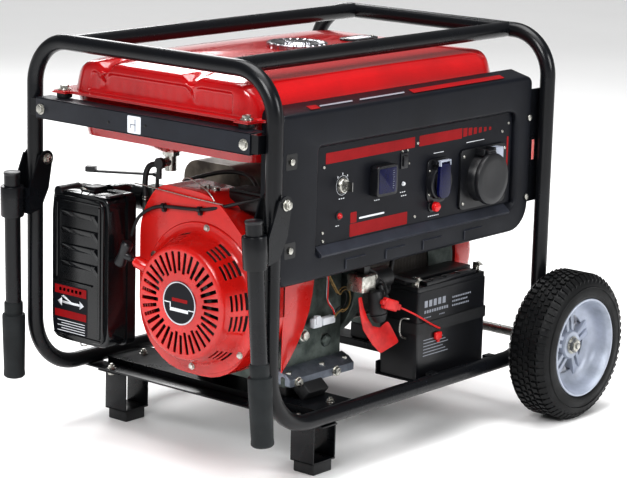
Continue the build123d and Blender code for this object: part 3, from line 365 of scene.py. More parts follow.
def cable(name, points, diameter, material, stands_for=()):
    """Round cable on the main body, along a smooth line guided by the millimetre points."""
    curve = bpy.data.curves.new(name, "CURVE")
    curve.dimensions = "3D"
    line = curve.splines.new("NURBS")
    line.points.add(len(points) - 1)
    for target, point in zip(line.points, points):
        target.co = (*(TO_FRAME @ Vector(point)), 1)
    line.order_u = 3
    line.use_endpoint_u = True
    line.resolution_u = 8
    curve.bevel_depth = diameter / 2000
    curve.bevel_resolution = 4
    curve.use_fill_caps = True
    holder = bpy.data.objects.new(name + "_line", curve)
    bpy.context.scene.collection.objects.link(holder)
    graph = bpy.context.evaluated_depsgraph_get()
    mesh = bpy.data.meshes.new_from_object(holder.evaluated_get(graph))
    bpy.data.objects.remove(holder)
    mesh.name = name
    mesh.materials.clear()
    mesh.materials.append(MATERIALS[material])
    mesh.shade_smooth()
    mesh.set_sharp_from_angle(angle=math.radians(50))
    piece = bpy.data.objects.new(name, mesh)
    bpy.context.scene.collection.objects.link(piece)
    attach(piece, MAIN)
    if stands_for:
        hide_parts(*stands_for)
    return piece


def all_corners(radius):
    """The same rounding on each of a prism's four corners."""
    return {corner: radius for corner in range(4)}


def pad(bm, low, high, push, radius, **rounding):
    """Push out a flat rectangle between two opposite corners, with its four corners equally rounded."""
    first, second = [axis for axis in range(3) if low[axis] != high[axis]]
    corners = []
    for one, other in ((low, low), (high, low), (high, high), (low, high)):
        corner = list(low)
        corner[first] = one[first]
        corner[second] = other[second]
        corners.append(corner)
    prism(bm, corners, push, all_corners(radius), **rounding)


# ------------------------------------------------------------------ stage

class GENERATOR_OT_finishes(bpy.types.Operator):
    """Paints, platings, plastics and rubbers, made before any piece"""
    bl_idname = "generator.finishes"
    bl_label = "Finishes"

    def execute(self, context):
        make_materials(context.scene.generator_colours)
        return {"FINISHED"}


class GENERATOR_OT_stage(bpy.types.Operator):
    """Floor, soft lights and camera"""
    bl_idname = "generator.stage"
    bl_label = "Stage"

    def execute(self, context):
        self.floor(context.scene)
        self.surroundings(context.scene)
        self.lamps(context.scene)
        self.camera(context.scene)
        return {"FINISHED"}

    def floor(self, scene):
        # Painted studio cove: matt off-white.
        floor_paint = surface("studio_floor", linear("#F4F4F4"), linear("#F1F1F1"), 900, 12, 0.01,
                              (0.75, 0.85))
        bm = bmesh.new()
        bmesh.ops.create_grid(bm, x_segments=2, y_segments=2, size=9)
        mesh = bpy.data.meshes.new("floor")
        bm.to_mesh(mesh)
        bm.free()
        mesh.materials.append(floor_paint)
        floor = bpy.data.objects.new("floor", mesh)
        scene.collection.objects.link(floor)

    def surroundings(self, scene):
        """White surroundings, bright up to the horizon and dim overhead, so dark paint keeps its depth."""
        world = bpy.data.worlds.new("studio")
        world.use_nodes = True
        tree = world.node_tree
        background = tree.nodes["Background"]
        background.inputs["Color"].default_value = linear("#FFFFFF")
        place = add_node(tree, "ShaderNodeTexCoord")
        parts = add_node(tree, "ShaderNodeSeparateXYZ", links={"Vector": place.outputs["Generated"]})
        level = add_node(tree, "ShaderNodeMapRange",
                         {"From Min": 0.0, "From Max": 0.14, "To Min": 1.0, "To Max": 0.2},
                         {"Value": parts.outputs["Z"]})
        tree.links.new(level.outputs["Result"], background.inputs["Strength"])
        scene.world = world
        scene.view_settings.view_transform = "Standard"
        scene.view_settings.look = "None"
        scene.view_settings.gamma = 0.86

    def lamps(self, scene):
        """Four soft boxes and a broad overhead light; places are in metres, powers in watts."""
        soft_boxes = (
            ("key", (-2.7, -0.9, 2.4), (0, 0, 0.35), 1.3, 85),
            ("side", (0.5, -3.0, 1.7), (0, 0, 0.3), 1.2, 50),
            ("top", (0.2, 0.3, 3.0), (0, 0, 0.5), 2.0, 70),
            ("back", (1.8, 2.6, 2.2), (0, 0, 0.4), 1.4, 45),
        )
        for name, place, target, size, power in soft_boxes:
            data = bpy.data.lights.new(name, "AREA")
            data.shape = "SQUARE"
            data.size = size
            data.energy = power
            lamp = bpy.data.objects.new(name, data)
            lamp.location = place
            lamp.rotation_euler = (Vector(target) - Vector(place)).to_track_quat("-Z", "Y").to_euler()
            scene.collection.objects.link(lamp)
        # The overhead light keeps the whole floor evenly pale.
        data = bpy.data.lights.new("overhead", "SUN")
        data.energy = 1.9
        data.angle = math.radians(50)
        lamp = bpy.data.objects.new("overhead", data)
        lamp.rotation_euler = (math.radians(12), math.radians(-8), 0)
        scene.collection.objects.link(lamp)

    def camera(self, scene):
        """Long lens from the engine end on the panel's side, a little above the tank."""
        data = bpy.data.cameras.new("camera")
        data.lens = 133.9
        data.sensor_width = 36.0
        data.clip_end = 50
        camera = bpy.data.objects.new("camera", data)
        right = Vector((0.64563, -0.76325, 0.02464))
        up = Vector((0.14732, 0.15615, 0.97668))
        forward = Vector((0.74931, 0.62694, -0.21326))
        place = Vector((STATION_ZERO - 2.4967, -2.4163, 1.1223))
        turn = Matrix((right, up, -forward)).transposed().to_4x4()
        camera.matrix_world = Matrix.Translation(place) @ turn
        scene.collection.objects.link(camera)
        scene.camera = camera


# ------------------------------------------------------------------ frame

class GENERATOR_OT_frame(bpy.types.Operator):
    """Tube frame, rails, brackets and axle"""
    bl_idname = "generator.frame"
    bl_label = "Frame"

    def execute(self, context):
        for node in ("engine_end_hoop", "wheel_end_hoop", "top_rails", "welded_brackets",
                     "near_handle_arm", "far_handle_arm"):
            paint_node(node, "black_powder_coat")
        paint_node("axle", "turned_steel")
        edge = context.scene.generator_sizes.sheet_edge * 1000
        self.floor_members(edge)
        self.tank_bars(edge)
        self.feet(edge)
        self.mounts()
        self.bolts()
        self.trim()
        return {"FINISHED"}

    def floor_members(self, edge):
        """Folded sheet across the floor rails, under the engine and under the alternator and battery."""
        half = 234
        bm = bmesh.new()
        slab(bm, (116, -258, 88.2), (151, 258, 91.2), edge)
        slab(bm, (148, -half, 88.4), (151, half, 102), edge)
        slab(bm, (148, -half, 99), (238, half, 102), edge)
        slab(bm, (235, -half, 88.2), (238, half, 102), edge)
        keep_piece(bm, "engine_floor_member", "black_powder_coat", stands_for=["engine_cross_member"])
        bm = bmesh.new()
        slab(bm, (528, -half, 99), (572, half, 102), edge)
        slab(bm, (528, -half, 88), (531, half, 102), edge)
        slab(bm, (569, -half, 88), (572, half, 102), edge)
        # Battery shelf, its back lip and the two blocks it stands on.
        slab(bm, (384, -237, 100), (573, -144, 102.8), edge)
        slab(bm, (384, -147, 100), (573, -144, 122), edge)
        for a in (398, 552):
            slab(bm, (a, -252, 101), (a + 18, -236, 117.5), edge)
        keep_piece(bm, "alternator_floor_member", "black_powder_coat", stands_for=["alternator_cross_member"])

    def tank_bars(self, edge):
        half, depth, sheet = 223, 32, 2.5
        low, high = 521, 554
        bm = bmesh.new()
        for face_a, inward in TANK_BARS:
            web = sorted((face_a, face_a + sheet * inward))
            wide = sorted((face_a, face_a + depth * inward))
            slab(bm, (web[0], -half, low), (web[1], half, high), edge)
            slab(bm, (wide[0], -half, low), (wide[1], half, low + sheet), edge)
            slab(bm, (wide[0], -half, high - sheet), (wide[1], half, high), edge)
        # The bars' enamel is painted greyer than the tube: painted light on their lit faces.
        keep_piece(bm, "tank_bar_channels", "black_enamel_painted_light", stands_for=["tank_bars"])

    def feet(self, edge):
        """Bent strips under the engine member, with rubber pads."""
        bm = bmesh.new()
        for side in (-1, 1):
            y0, y1 = side * FOOT_Y - 23, side * FOOT_Y + 23
            slab(bm, (134, y0, 18.2), (137, y1, 88.1), edge)
            slab(bm, (116, y0, 85.1), (137, y1, 88.1), edge)
            slab(bm, (134, y0, 18), (188, y1, 21), edge)
            slab(bm, (185, y0, 18.2), (188, y1, 98.9), edge)
            slab(bm, (185, y0, 95.9), (212, y1, 98.9), edge)
        keep_piece(bm, "foot_straps", "black_powder_coat", stands_for=["foot_brackets"])
        bm = bmesh.new()
        for side in (-1, 1):
            y0, y1 = side * FOOT_Y - 20.5, side * FOOT_Y + 20.5
            slab(bm, (139, y0, 0), (183, y1, 17.9), 2.0, 3)
        keep_piece(bm, "foot_rubbers", "moulded_rubber", stands_for=["foot_pads"])

    def mounts(self):
        """Rubbers under the tank's corners, the engine and the alternator."""
        bm = bmesh.new()
        for a, y in TANK_CORNERS:
            rod(bm, (a, y, 554), (a, y, 561.6), 12, edge=1.5)
        for a in (185, 222):
            for y in (-118, 36):
                slab(bm, (a - 14, y - 18, 102), (a + 14, y + 18, 124), 2.5, 3)
        for y in (-110, 14):
            slab(bm, (534, y - 18, 102), (566, y + 18, 128), 2.5, 3)
        keep_piece(bm, "mount_rubbers", "moulded_rubber", stands_for=["rubber_mounts"])

    def bolts(self):
        bm = bmesh.new()
        for y in (-FOOT_Y, FOOT_Y):
            for a, low, top in ((125, 85.1, 91.2), (200, 95.9, 102)):
                hexagon(bm, (a, y, low), (0, 0, -1), 10, 4.4)
                hexagon(bm, (a, y, top), (0, 0, 1), 10, 5)
                rod(bm, (a, y, top), (a, y, top + 8.5), 3.1, edge=0.5)
        for y in (-212, 212):
            for a, inward in TANK_BARS:
                hexagon(bm, (a, y, 536), (-inward, 0, 0), 12, 4.5)
                hexagon(bm, (a + inward * 5.8, y, 536), (inward, 0, 0), 12, 5)
        for z in PANEL_BOLT_Z:
            for a in (PANEL_BOLT_A, 651):
                rod(bm, (a, PANEL_Y, z), (a, PANEL_Y - 3.6, z), 5.2, edge=1.0)
                slab(bm, (a - 3.4, PANEL_Y - 4.1, z - 0.6), (a + 3.4, PANEL_Y - 3.5, z + 0.6), 0.1, 1)
                hexagon(bm, (a, PANEL_Y + 6, z), (0, 1, 0), 8, 5)
        for a, y in TANK_CORNERS:
            rod(bm, (a, y, 566), (a, y, 568), 10, edge=0.4)
            hexagon(bm, (a, y, 568), (0, 0, 1), 12, 5.6)
        for side in (-1, 1):
            y = side * 250
            hexagon(bm, (7, y + 19.5, 451), (0, 1, 0), 12, 5)
            hexagon(bm, (7, y - 19.5, 451), (0, -1, 0), 12, 6.2)
            rod(bm, (7, y - 19, 451), (7, y - 27.4, 451), 4, edge=0.6)
        keep_piece(bm, "hex_fasteners", "zinc_plate", stands_for=["frame_bolts"])

    def trim(self):
        """Sticker and weld dots on the engine-end tank bar, and the reflector strip."""
        bm = bmesh.new()
        prism(bm, [(-24.05, -5, 523.5), (-24.05, 23, 523.5), (-24.05, 23, 550), (-24.05, -5, 550)],
              (-0.25, 0, 0), all_corners(2), edge=0)
        keep_piece(bm, "bar_sticker", "sticker_paper")
        bm = bmesh.new()
        slab(bm, (-24.45, 6, 527), (-24.3, 7.6, 545), 0, 1)
        slab(bm, (-24.45, 6, 536), (-24.3, 17, 537.6), 0, 1)
        slab(bm, (-24.45, 15.4, 531), (-24.3, 17, 537), 0, 1)
        keep_piece(bm, "bar_sticker_mark", "printed_film_grey")
        bm = bmesh.new()
        for y, z in ((64, 534), (-14, 538)):
            rod(bm, (-24.6, y, z), (-23.9, y, z), 2.4, edge=0.2)
        keep_piece(bm, "bar_weld_dots", "satin_black_paint")
        bm = bmesh.new()
        slab(bm, (667, -237.4, 432), (674, -236.8, 466), 0.2, 1)
        keep_piece(bm, "reflector_strip", "reflector_film")


# ------------------------------------------------------------------ wheels

class GENERATOR_OT_wheels(bpy.types.Operator):
    """Tyres with block tread and five-spoke centres"""
    bl_idname = "generator.wheels"
    bl_label = "Wheels"

    def execute(self, context):
        sizes = context.scene.generator_sizes
        for side, body in ((-1, "near_wheel"), (1, "far_wheel")):
            self.tyre(side, body, sizes.tread_depth * 1000, sizes.tread_pitches)
            self.centre(side, body)
        return {"FINISHED"}

    def tyre(self, side, body, depth, pitches):
        hub = Vector((WHEEL_STATION, 0, WHEEL_R))
        r = WHEEL_R - depth
        profile = [(79, 274), (82.5, 269.5), (88, 268.2), (96, 268.0), (106, 270.0), (113, 272.5),
                   (r - 2, 278), (r, 284), (r + 0.6, 296), (r + 0.8, 308), (r + 0.6, 320), (r, 332),
                   (r - 2, 338), (113, 343.5), (106, 346), (96, 347.8), (88, 347.8), (84.5, 346.4),
                   (83, 344), (79, 342)]
        bm = bmesh.new()
        turned(bm, [(radius, side * y) for radius, y in profile], hub, (0, 1, 0), steps=96, closed=True)
        # Two thin bands on the sidewall next to the rim.
        for radius in (90, 103):
            turned(bm, [(radius - 1, side * 347.2), (radius, side * 348), (radius + 1, side * 347)],
                   hub, (0, 1, 0), steps=96)
        keep_piece(bm, body + "_tyre_carcass", "tyre_rubber", body, sharp=40)
        bm = bmesh.new()
        rows = ((284.5, 296.5, 0.0, 0), (298.0, 306.8, 0.5, 0), (309.2, 318.0, 0.0, 0),
                (319.5, 331.5, 0.5, 0), (271.2, 283.5, 0.0, -1), (332.5, 344.8, 0.5, 1))
        pitch = 360 / pitches
        length = 2 * math.pi * WHEEL_R / pitches * 0.62
        for y0, y1, shift, shoulder in rows:
            middle = side * (y0 + y1) / 2
            half = (y1 - y0) / 2
            top = WHEEL_R - 0.02
            block = [Vector((-length / 2, -half, r - 1.2)), Vector((length / 2, -half + 1.5, r - 1.2)),
                     Vector((length / 2, half, r - 1.2)), Vector((-length / 2, half - 1.5, r - 1.2))]
            for i in range(pitches):
                fresh = [bm.verts.new(p) for p in block]
                face = bm.faces.new(fresh)
                out = bmesh.ops.extrude_face_region(bm, geom=[face])["geom"]
                crown = [g for g in out if isinstance(g, bmesh.types.BMVert)]
                for vert in crown:
                    vert.co.z = top
                    vert.co.x *= 0.86
                    vert.co.y *= 0.9
                if shoulder:
                    outer = shoulder * side
                    for vert in crown:
                        if vert.co.y * outer > 0:
                            vert.co.z = top - 9.0
                    for vert in fresh:
                        if vert.co.y * outer > 0:
                            vert.co.z = r - 12.5
                turn = (Matrix.Translation(hub + Vector((0, middle, 0)))
                        @ Matrix.Rotation(math.radians(pitch * (i + shift)), 4, "Y"))
                bmesh.ops.transform(bm, matrix=turn, verts=fresh + crown)
        keep_piece(bm, body + "_tread_blocks", "tyre_rubber", body, stands_for=[body[:-6] + "_tyre"],
                   sharp=25)

    def centre(self, side, body):
        hub = Vector((WHEEL_STATION, 0, WHEEL_R))
        out = Vector((0, side, 0))
        bm = bmesh.new()
        turned(bm, [(74, 274), (79, 274), (79.5, 276), (79, 300), (79, 338), (81.5, 342.4), (83.5, 345.6),
                    (82.6, 347.2), (80, 347.0), (77.5, 343), (75.5, 336), (73.5, 325), (71, 317),
                    (66, 311.5), (60, 309), (54, 308), (51.5, 307), (51.5, 300), (58, 300), (68, 303)],
               hub, out, steps=80, closed=True)
        turned(bm, [(8.1, 268.2), (17, 268.2), (20, 272), (20, 303), (25, 309), (25, 317), (22, 321),
                    (8.1, 321)], hub, out, steps=48, closed=True)
        keep_piece(bm, body + "_rim_barrel", "silver_wheel_paint", body, sharp=38)
        bm = bmesh.new()
        for i in range(5):
            spin = math.radians(90 + 72 * i)
            for lean in (-1, 1):
                along = Vector((math.cos(spin), 0, math.sin(spin)))
                across = along.cross(out) * lean
                # Each spoke is a pair of raised bars with a groove between them.
                rings = ((16, 1.5, 11.0, 300, 317.5), (28, 1.6, 11.5, 299, 316.5),
                         (40, 1.8, 12.8, 298, 314.5), (52, 2.0, 14.6, 298, 312.5),
                         (64, 2.2, 17.0, 300, 309.5))
                loops = []
                for radius, inner, outer, low, high in rings:
                    base = hub + along * radius
                    loops.append([bm.verts.new(p) for p in (base + across * inner + out * low,
                                                            base + across * outer + out * low,
                                                            base + across * (outer - 1.5) + out * high,
                                                            base + across * (inner + 1.2) + out * high)])
                long_edges = []
                for first, second in zip(loops, loops[1:]):
                    for k in range(4):
                        bm.faces.new((first[k], first[(k + 1) % 4], second[(k + 1) % 4], second[k]))
                        long_edges.append(bm.edges.get((first[k], second[k])))
                bm.faces.new(loops[0])
                bm.faces.new(list(reversed(loops[-1])))
                bevel(bm, long_edges, 1.2, 2)
            # Floor of the groove.
            base = hub + along * 14
            tip = hub + along * 60
            points = [base - across * 2 + out * 302, base + across * 2 + out * 302,
                      tip + across * 3 + out * 302, tip - across * 3 + out * 302]
            prism(bm, points, out * 5, edge=0)
        keep_piece(bm, body + "_spokes", "silver_wheel_paint", body, stands_for=[body[:-6] + "_rim"],
                   sharp=38)
        bm = bmesh.new()
        rod(bm, hub + out * 321.2, hub + out * 323, 15, edge=0.5)
        hexagon(bm, hub + out * 323, out, 19, 8, edge=1.0)
        rod(bm, hub + out * 330, hub + out * 334.5, 5, edge=0.8)
        keep_piece(bm, body + "_hub_nut", "zinc_plate", body)


# ------------------------------------------------------------------ handles

class GENERATOR_OT_handles(bpy.types.Operator):
    """Rubber grips, collars and plugs of the folding handles"""
    bl_idname = "generator.handles"
    bl_label = "Handles"

    def execute(self, context):
        for side, body in ((-1, "near_handle"), (1, "far_handle")):
            top = Vector((-46.5, side * 253.6, 434))
            low = Vector((-31.0, side * 266.0, 96))
            along = low - top
            profile = ((0.628, 12.9), (0.63, 14.4), (0.636, 14.9), (0.676, 14.9), (0.682, 14.2),
                       (0.686, 14.4), (0.69, 17.8), (0.70, 18.4), (0.76, 18.2), (0.90, 17.2),
                       (0.965, 16.8), (0.985, 17.4), (0.992, 17.2), (0.999, 15.0), (1.0, 0.0))
            length = along.length
            bm = bmesh.new()
            turned(bm, [(r, t * length) for t, r in profile], top, along, steps=40)
            keep_piece(bm, body + "_rubber_grip", "grip_rubber", body, stands_for=[body + "_grip"], sharp=30)
            bm = bmesh.new()
            turned(bm, [(0.0, -0.2), (11.5, -0.2), (13.3, 1.0), (13.4, 3.5), (12.9, 4.5)], top, along,
                   steps=40)
            keep_piece(bm, body + "_end_plug", "moulded_nylon", body)
            bm = bmesh.new()
            turned(bm, [(12.72, 0.066 * length), (17.9, 0.066 * length), (18.6, 0.071 * length),
                        (18.6, 0.205 * length), (17.6, 0.211 * length), (12.72, 0.211 * length)],
                   top, along, steps=40)
            keep_piece(bm, body + "_sleeve_skin", "black_powder_coat", body)
        return {"FINISHED"}


# ------------------------------------------------------------------ tank

class GENERATOR_OT_tank(bpy.types.Operator):
    """Pressed tank, filler cap and gauge"""
    bl_idname = "generator.tank"
    bl_label = "Fuel tank"

    def execute(self, context):
        paint_node("tank_lower_shell", "red_tank_enamel")
        self.upper_shell()
        self.seam()
        self.cap()
        self.gauge()
        self.cock()
        return {"FINISHED"}

    def upper_shell(self):
        bm = bmesh.new()
        a0, a1, y = 17.5, 624.5, 199.5
        radius = 40
        outline = []
        for (a, b), start, cuts in (((a1, y), 0, 24), ((a0, y), 90, 44), ((a0, -y), 180, 24),
                                    ((a1, -y), 270, 44)):
            middle = Vector((a - math.copysign(radius, a - 300), b - math.copysign(radius, b), 566))
            for k in range(9):
                angle = math.radians(start + 90 * k / 8)
                outline.append(middle + Vector((math.cos(angle), math.sin(angle), 0)) * radius)
            turned_by = math.radians(start + 90)
            along = Vector((-math.sin(turned_by), math.cos(turned_by), 0))
            length = (a1 - a0 if start in (0, 180) else 2 * y) - 2 * radius
            outline += [outline[-1] + along * (length * k / (cuts + 1)) for k in range(1, cuts + 1)]
        top = bm.faces.new([bm.verts.new(p) for p in outline])
        centre = Vector(((a0 + a1) / 2, 0, 0))
        half = Vector(((a1 - a0) / 2, y, 0))
        size = half.copy()
        # Inset and rise at the ends, then inset and rise along the sides.
        steps = ((0, 1.5, 0, 1.5), (1.5, 8, 1.5, 10), (4.5, 35, 3.5, 22), (5.6, 40.5, 9.5, 30),
                 (7.6, 44.6, 13, 32.5), (11.5, 47.2, 19, 41.5), (17, 48.4, 23.5, 45.5),
                 (28, 49.6, 31, 48.8), (44, 51.5, 44, 51.5), (70, 54.5, 70, 54.5), (110, 57.0, 110, 57.0),
                 (160, 58.2, 160, 58.2))
        loops = []
        for end_inset, end_rise, side_inset, side_rise in steps:
            made = bmesh.ops.extrude_face_region(bm, geom=[top])["geom"]
            verts = [g for g in made if isinstance(g, bmesh.types.BMVert)]
            bmesh.ops.delete(bm, geom=[top], context="FACES_ONLY")
            top = [g for g in made if isinstance(g, bmesh.types.BMFace)][0]
            wanted = Vector((half.x - end_inset, half.y - side_inset, 1))
            bmesh.ops.scale(bm, vec=(wanted.x / size.x, wanted.y / size.y, 1), verts=verts,
                            space=Matrix.Translation(-centre))
            for vert in verts:
                depth_x = half.x - end_inset - abs(vert.co.x - centre.x)
                depth_y = half.y - side_inset - abs(vert.co.y)
                blend = min(1.0, max(0.0, (depth_y - depth_x) / 36 + 0.5))
                vert.co.z = 566 + end_rise * blend + side_rise * (1 - blend)
            size = wanted
            loops.append(verts)
        # The crease on the long sides climbs from the engine end to two thirds along, then falls.
        for number, lift in ((3, 1.0), (4, 1.0), (5, 0.75), (6, 0.5)):
            for vert in loops[number]:
                along = (vert.co.x - a0) / (a1 - a0)
                wave = math.sin(min(max(along, 0), 1) ** 0.8 * math.pi * 0.86)
                side = min(1.0, max(0.0, (abs(vert.co.y) - 150) / 30))
                side *= min(1.0, max(0.0, (vert.co.x - a0 - 20) / 40))
                vert.co.z += (12.5 * wave - 3.5) * lift * side
        # Two channels pressed across the rolled rim at the engine end.
        for vert in bm.verts:
            for y_dent in (116, -62):
                near = max(0.0, 1 - abs(vert.co.y - y_dent) / 15)
                if vert.co.x < 66 and vert.co.z > 604:
                    fade = max(0.0, 1 - (vert.co.x - 22) / 44)
                    lift = max(0.0, 1 - abs(abs(vert.co.y - y_dent) - 20) / 9)
                    vert.co.z += (1.6 * lift - 8.5 * min(1.0, near * 2.0)) * fade
        # Recessed panel on the engine end with a row of shallow flutes.
        bm.normal_update()
        panel = []
        for face in bm.faces:
            middle = face.calc_center_median()
            at_end = abs(face.normal.x) > 0.75 and middle.x < 60
            if at_end and 567.5 < middle.z < 600 and abs(middle.y) < 152:
                panel.append(face)
        sign = 1 if panel[0].normal.x < 0 else -1
        bmesh.ops.inset_region(bm, faces=panel, thickness=1.0, depth=0.0, use_even_offset=True)
        bmesh.ops.inset_region(bm, faces=panel, thickness=3.0, depth=-3.4 * sign, use_even_offset=True)
        bmesh.ops.inset_region(bm, faces=panel, thickness=1.0, depth=0.0, use_even_offset=True)
        for vert in {v for f in panel for v in f.verts}:
            vert.co.x += 0.5 * math.sin(vert.co.y * 0.33)
        keep_piece(bm, "tank_top_pressing", "red_tank_enamel", stands_for=["tank_upper_shell"], sharp=60,
                   levels=1)

    def seam(self):
        bm = bmesh.new()
        prism(bm, [(3, -214, 564), (639, -214, 564), (639, 214, 564), (3, 214, 564)], (0, 0, 1.9),
              all_corners(40), edge=0.5)
        for a, y in TANK_CORNERS:
            pad(bm, (a - 13, y - 14, 564), (a + 13, y + 14, 564), (0, 0, 2.0), 6, edge=0.5)
        keep_piece(bm, "tank_seam_flange", "red_tank_enamel")

    def cap(self):
        centre = Vector((CAP_STATION, 0, 0))
        bm = bmesh.new()
        flutes = 22
        made = bmesh.ops.create_circle(bm, cap_ends=True, radius=49, segments=flutes * 6,
                                       matrix=Matrix.Translation((CAP_STATION, 0, 622.5)))["verts"]
        for vert in made:
            away = vert.co - Vector((CAP_STATION, 0, 622.5))
            turn = math.atan2(away.y, away.x) * flutes / math.tau % 1.0
            pull = 2.2 if turn < 0.34 else 0.0
            vert.co -= away.normalized() * pull
        face = made[0].link_faces[0]
        for rise, scale in ((1.0, 1.012), (7.5, 1.0), (1.6, 0.965), (0.4, 0.93), (-1.4, 0.91), (0.2, 0.55),
                            (2.2, 0.90), (0.3, 0.9)):
            out = bmesh.ops.extrude_face_region(bm, geom=[face])["geom"]
            bmesh.ops.delete(bm, geom=[face], context="FACES_ONLY")
            face = [g for g in out if isinstance(g, bmesh.types.BMFace)][0]
            verts = [g for g in out if isinstance(g, bmesh.types.BMVert)]
            bmesh.ops.translate(bm, vec=(0, 0, rise), verts=verts)
            bmesh.ops.scale(bm, vec=(scale, scale, 1), verts=verts, space=Matrix.Translation(-centre))
        keep_piece(bm, "filler_cap_chrome", "chrome_plate", "fuel_cap", stands_for=["fuel_cap"], sharp=28)
        bm = bmesh.new()
        turned(bm, [(26, 620), (27.5, 620), (27.5, 622.2), (32, 622.2)], centre, (0, 0, 1), steps=48)
        keep_piece(bm, "filler_neck", "red_tank_enamel")

    def gauge(self):
        bm = bmesh.new()
        prism(bm, [(457, -20, 622), (533, -20, 622), (533, 20, 622), (457, 20, 622)], (0, 0, 4.6),
              all_corners(19), edge=1.2)
        keep_piece(bm, "gauge_bezel", "moulded_nylon", stands_for=["fuel_gauge"])
        bm = bmesh.new()
        prism(bm, [(469, -10, 626.4), (521, -10, 626.4), (521, 10, 626.4), (469, 10, 626.4)], (0, 0, 0.7),
              all_corners(9), edge=0.2)
        keep_piece(bm, "gauge_window", "printed_film_white")
        bm = bmesh.new()
        for i in range(5):
            slab(bm, (474 + 10 * i, -6, 627.0), (476 + 10 * i, 3 if i % 2 else 6, 627.3), 0, 1)
        keep_piece(bm, "gauge_marks", "printed_film_red")
        for a in (461, 529):
            bm = bmesh.new()
            rod(bm, (a, 0, 626.4), (a, 0, 628.2), 3, edge=0.5)
            keep_piece(bm, f"gauge_screw_{a}", "zinc_plate")

    def cock(self):
        paint_node("fuel_cock", "zinc_plate")
        paint_node("fuel_cock_lever", "satin_black_paint")
        cable("fuel_hose_rubber", [(100, 70, 452), (100, 92, 452), (100, 104, 437), (98, 104, 412),
                                   (96, 100, 400), (96, 100, 388.6)], 9.0, "moulded_rubber",
              stands_for=["fuel_hose"])
        bm = bmesh.new()
        for z in (393, 397):
            turned(bm, [(4.4, z), (5.3, z), (5.3, z + 1.6), (4.4, z + 1.6)], (96, 100, 0), (0, 0, 1),
                   steps=24, closed=True)
        turned(bm, [(4.4, 76), (5.3, 76), (5.3, 78), (4.4, 78)], (100, 0, 452), (0, 1, 0), steps=24,
               closed=True)
        keep_piece(bm, "hose_clips", "zinc_plate")


# ------------------------------------------------------------------ control panel

def corner_face(bm, corners, radii, segments=6):
    """Flat face whose corners are rounded, each with its own radius."""
    before = set(bm.faces)
    verts = [bm.verts.new(p) for p in corners]
    bm.faces.new(verts)
    for vert, radius in zip(verts, radii):
        bmesh.ops.bevel(bm, geom=[vert], offset=radius, offset_type="OFFSET", segments=segments, profile=0.5,
                        affect="VERTICES", material=-1)
    return [f for f in bm.faces if f not in before][0]


def screws(name, spots, r):
    """Cross-head screws seated on a front face; each spot is a station, width and height."""
    bm = bmesh.new()
    for a, y, z in spots:
        rod(bm, (a, y + 0.4, z), (a, y - 1.7, z), r, end_r=r * 0.8, steps=20, edge=0.4)
        slab(bm, (a - r * 0.55, y - 1.9, z - 0.35), (a + r * 0.55, y - 1.6, z + 0.35), 0, 1)
        slab(bm, (a - 0.35, y - 1.9, z - r * 0.55), (a + 0.35, y - 1.6, z + r * 0.55), 0, 1)
    keep_piece(bm, name, "zinc_plate")


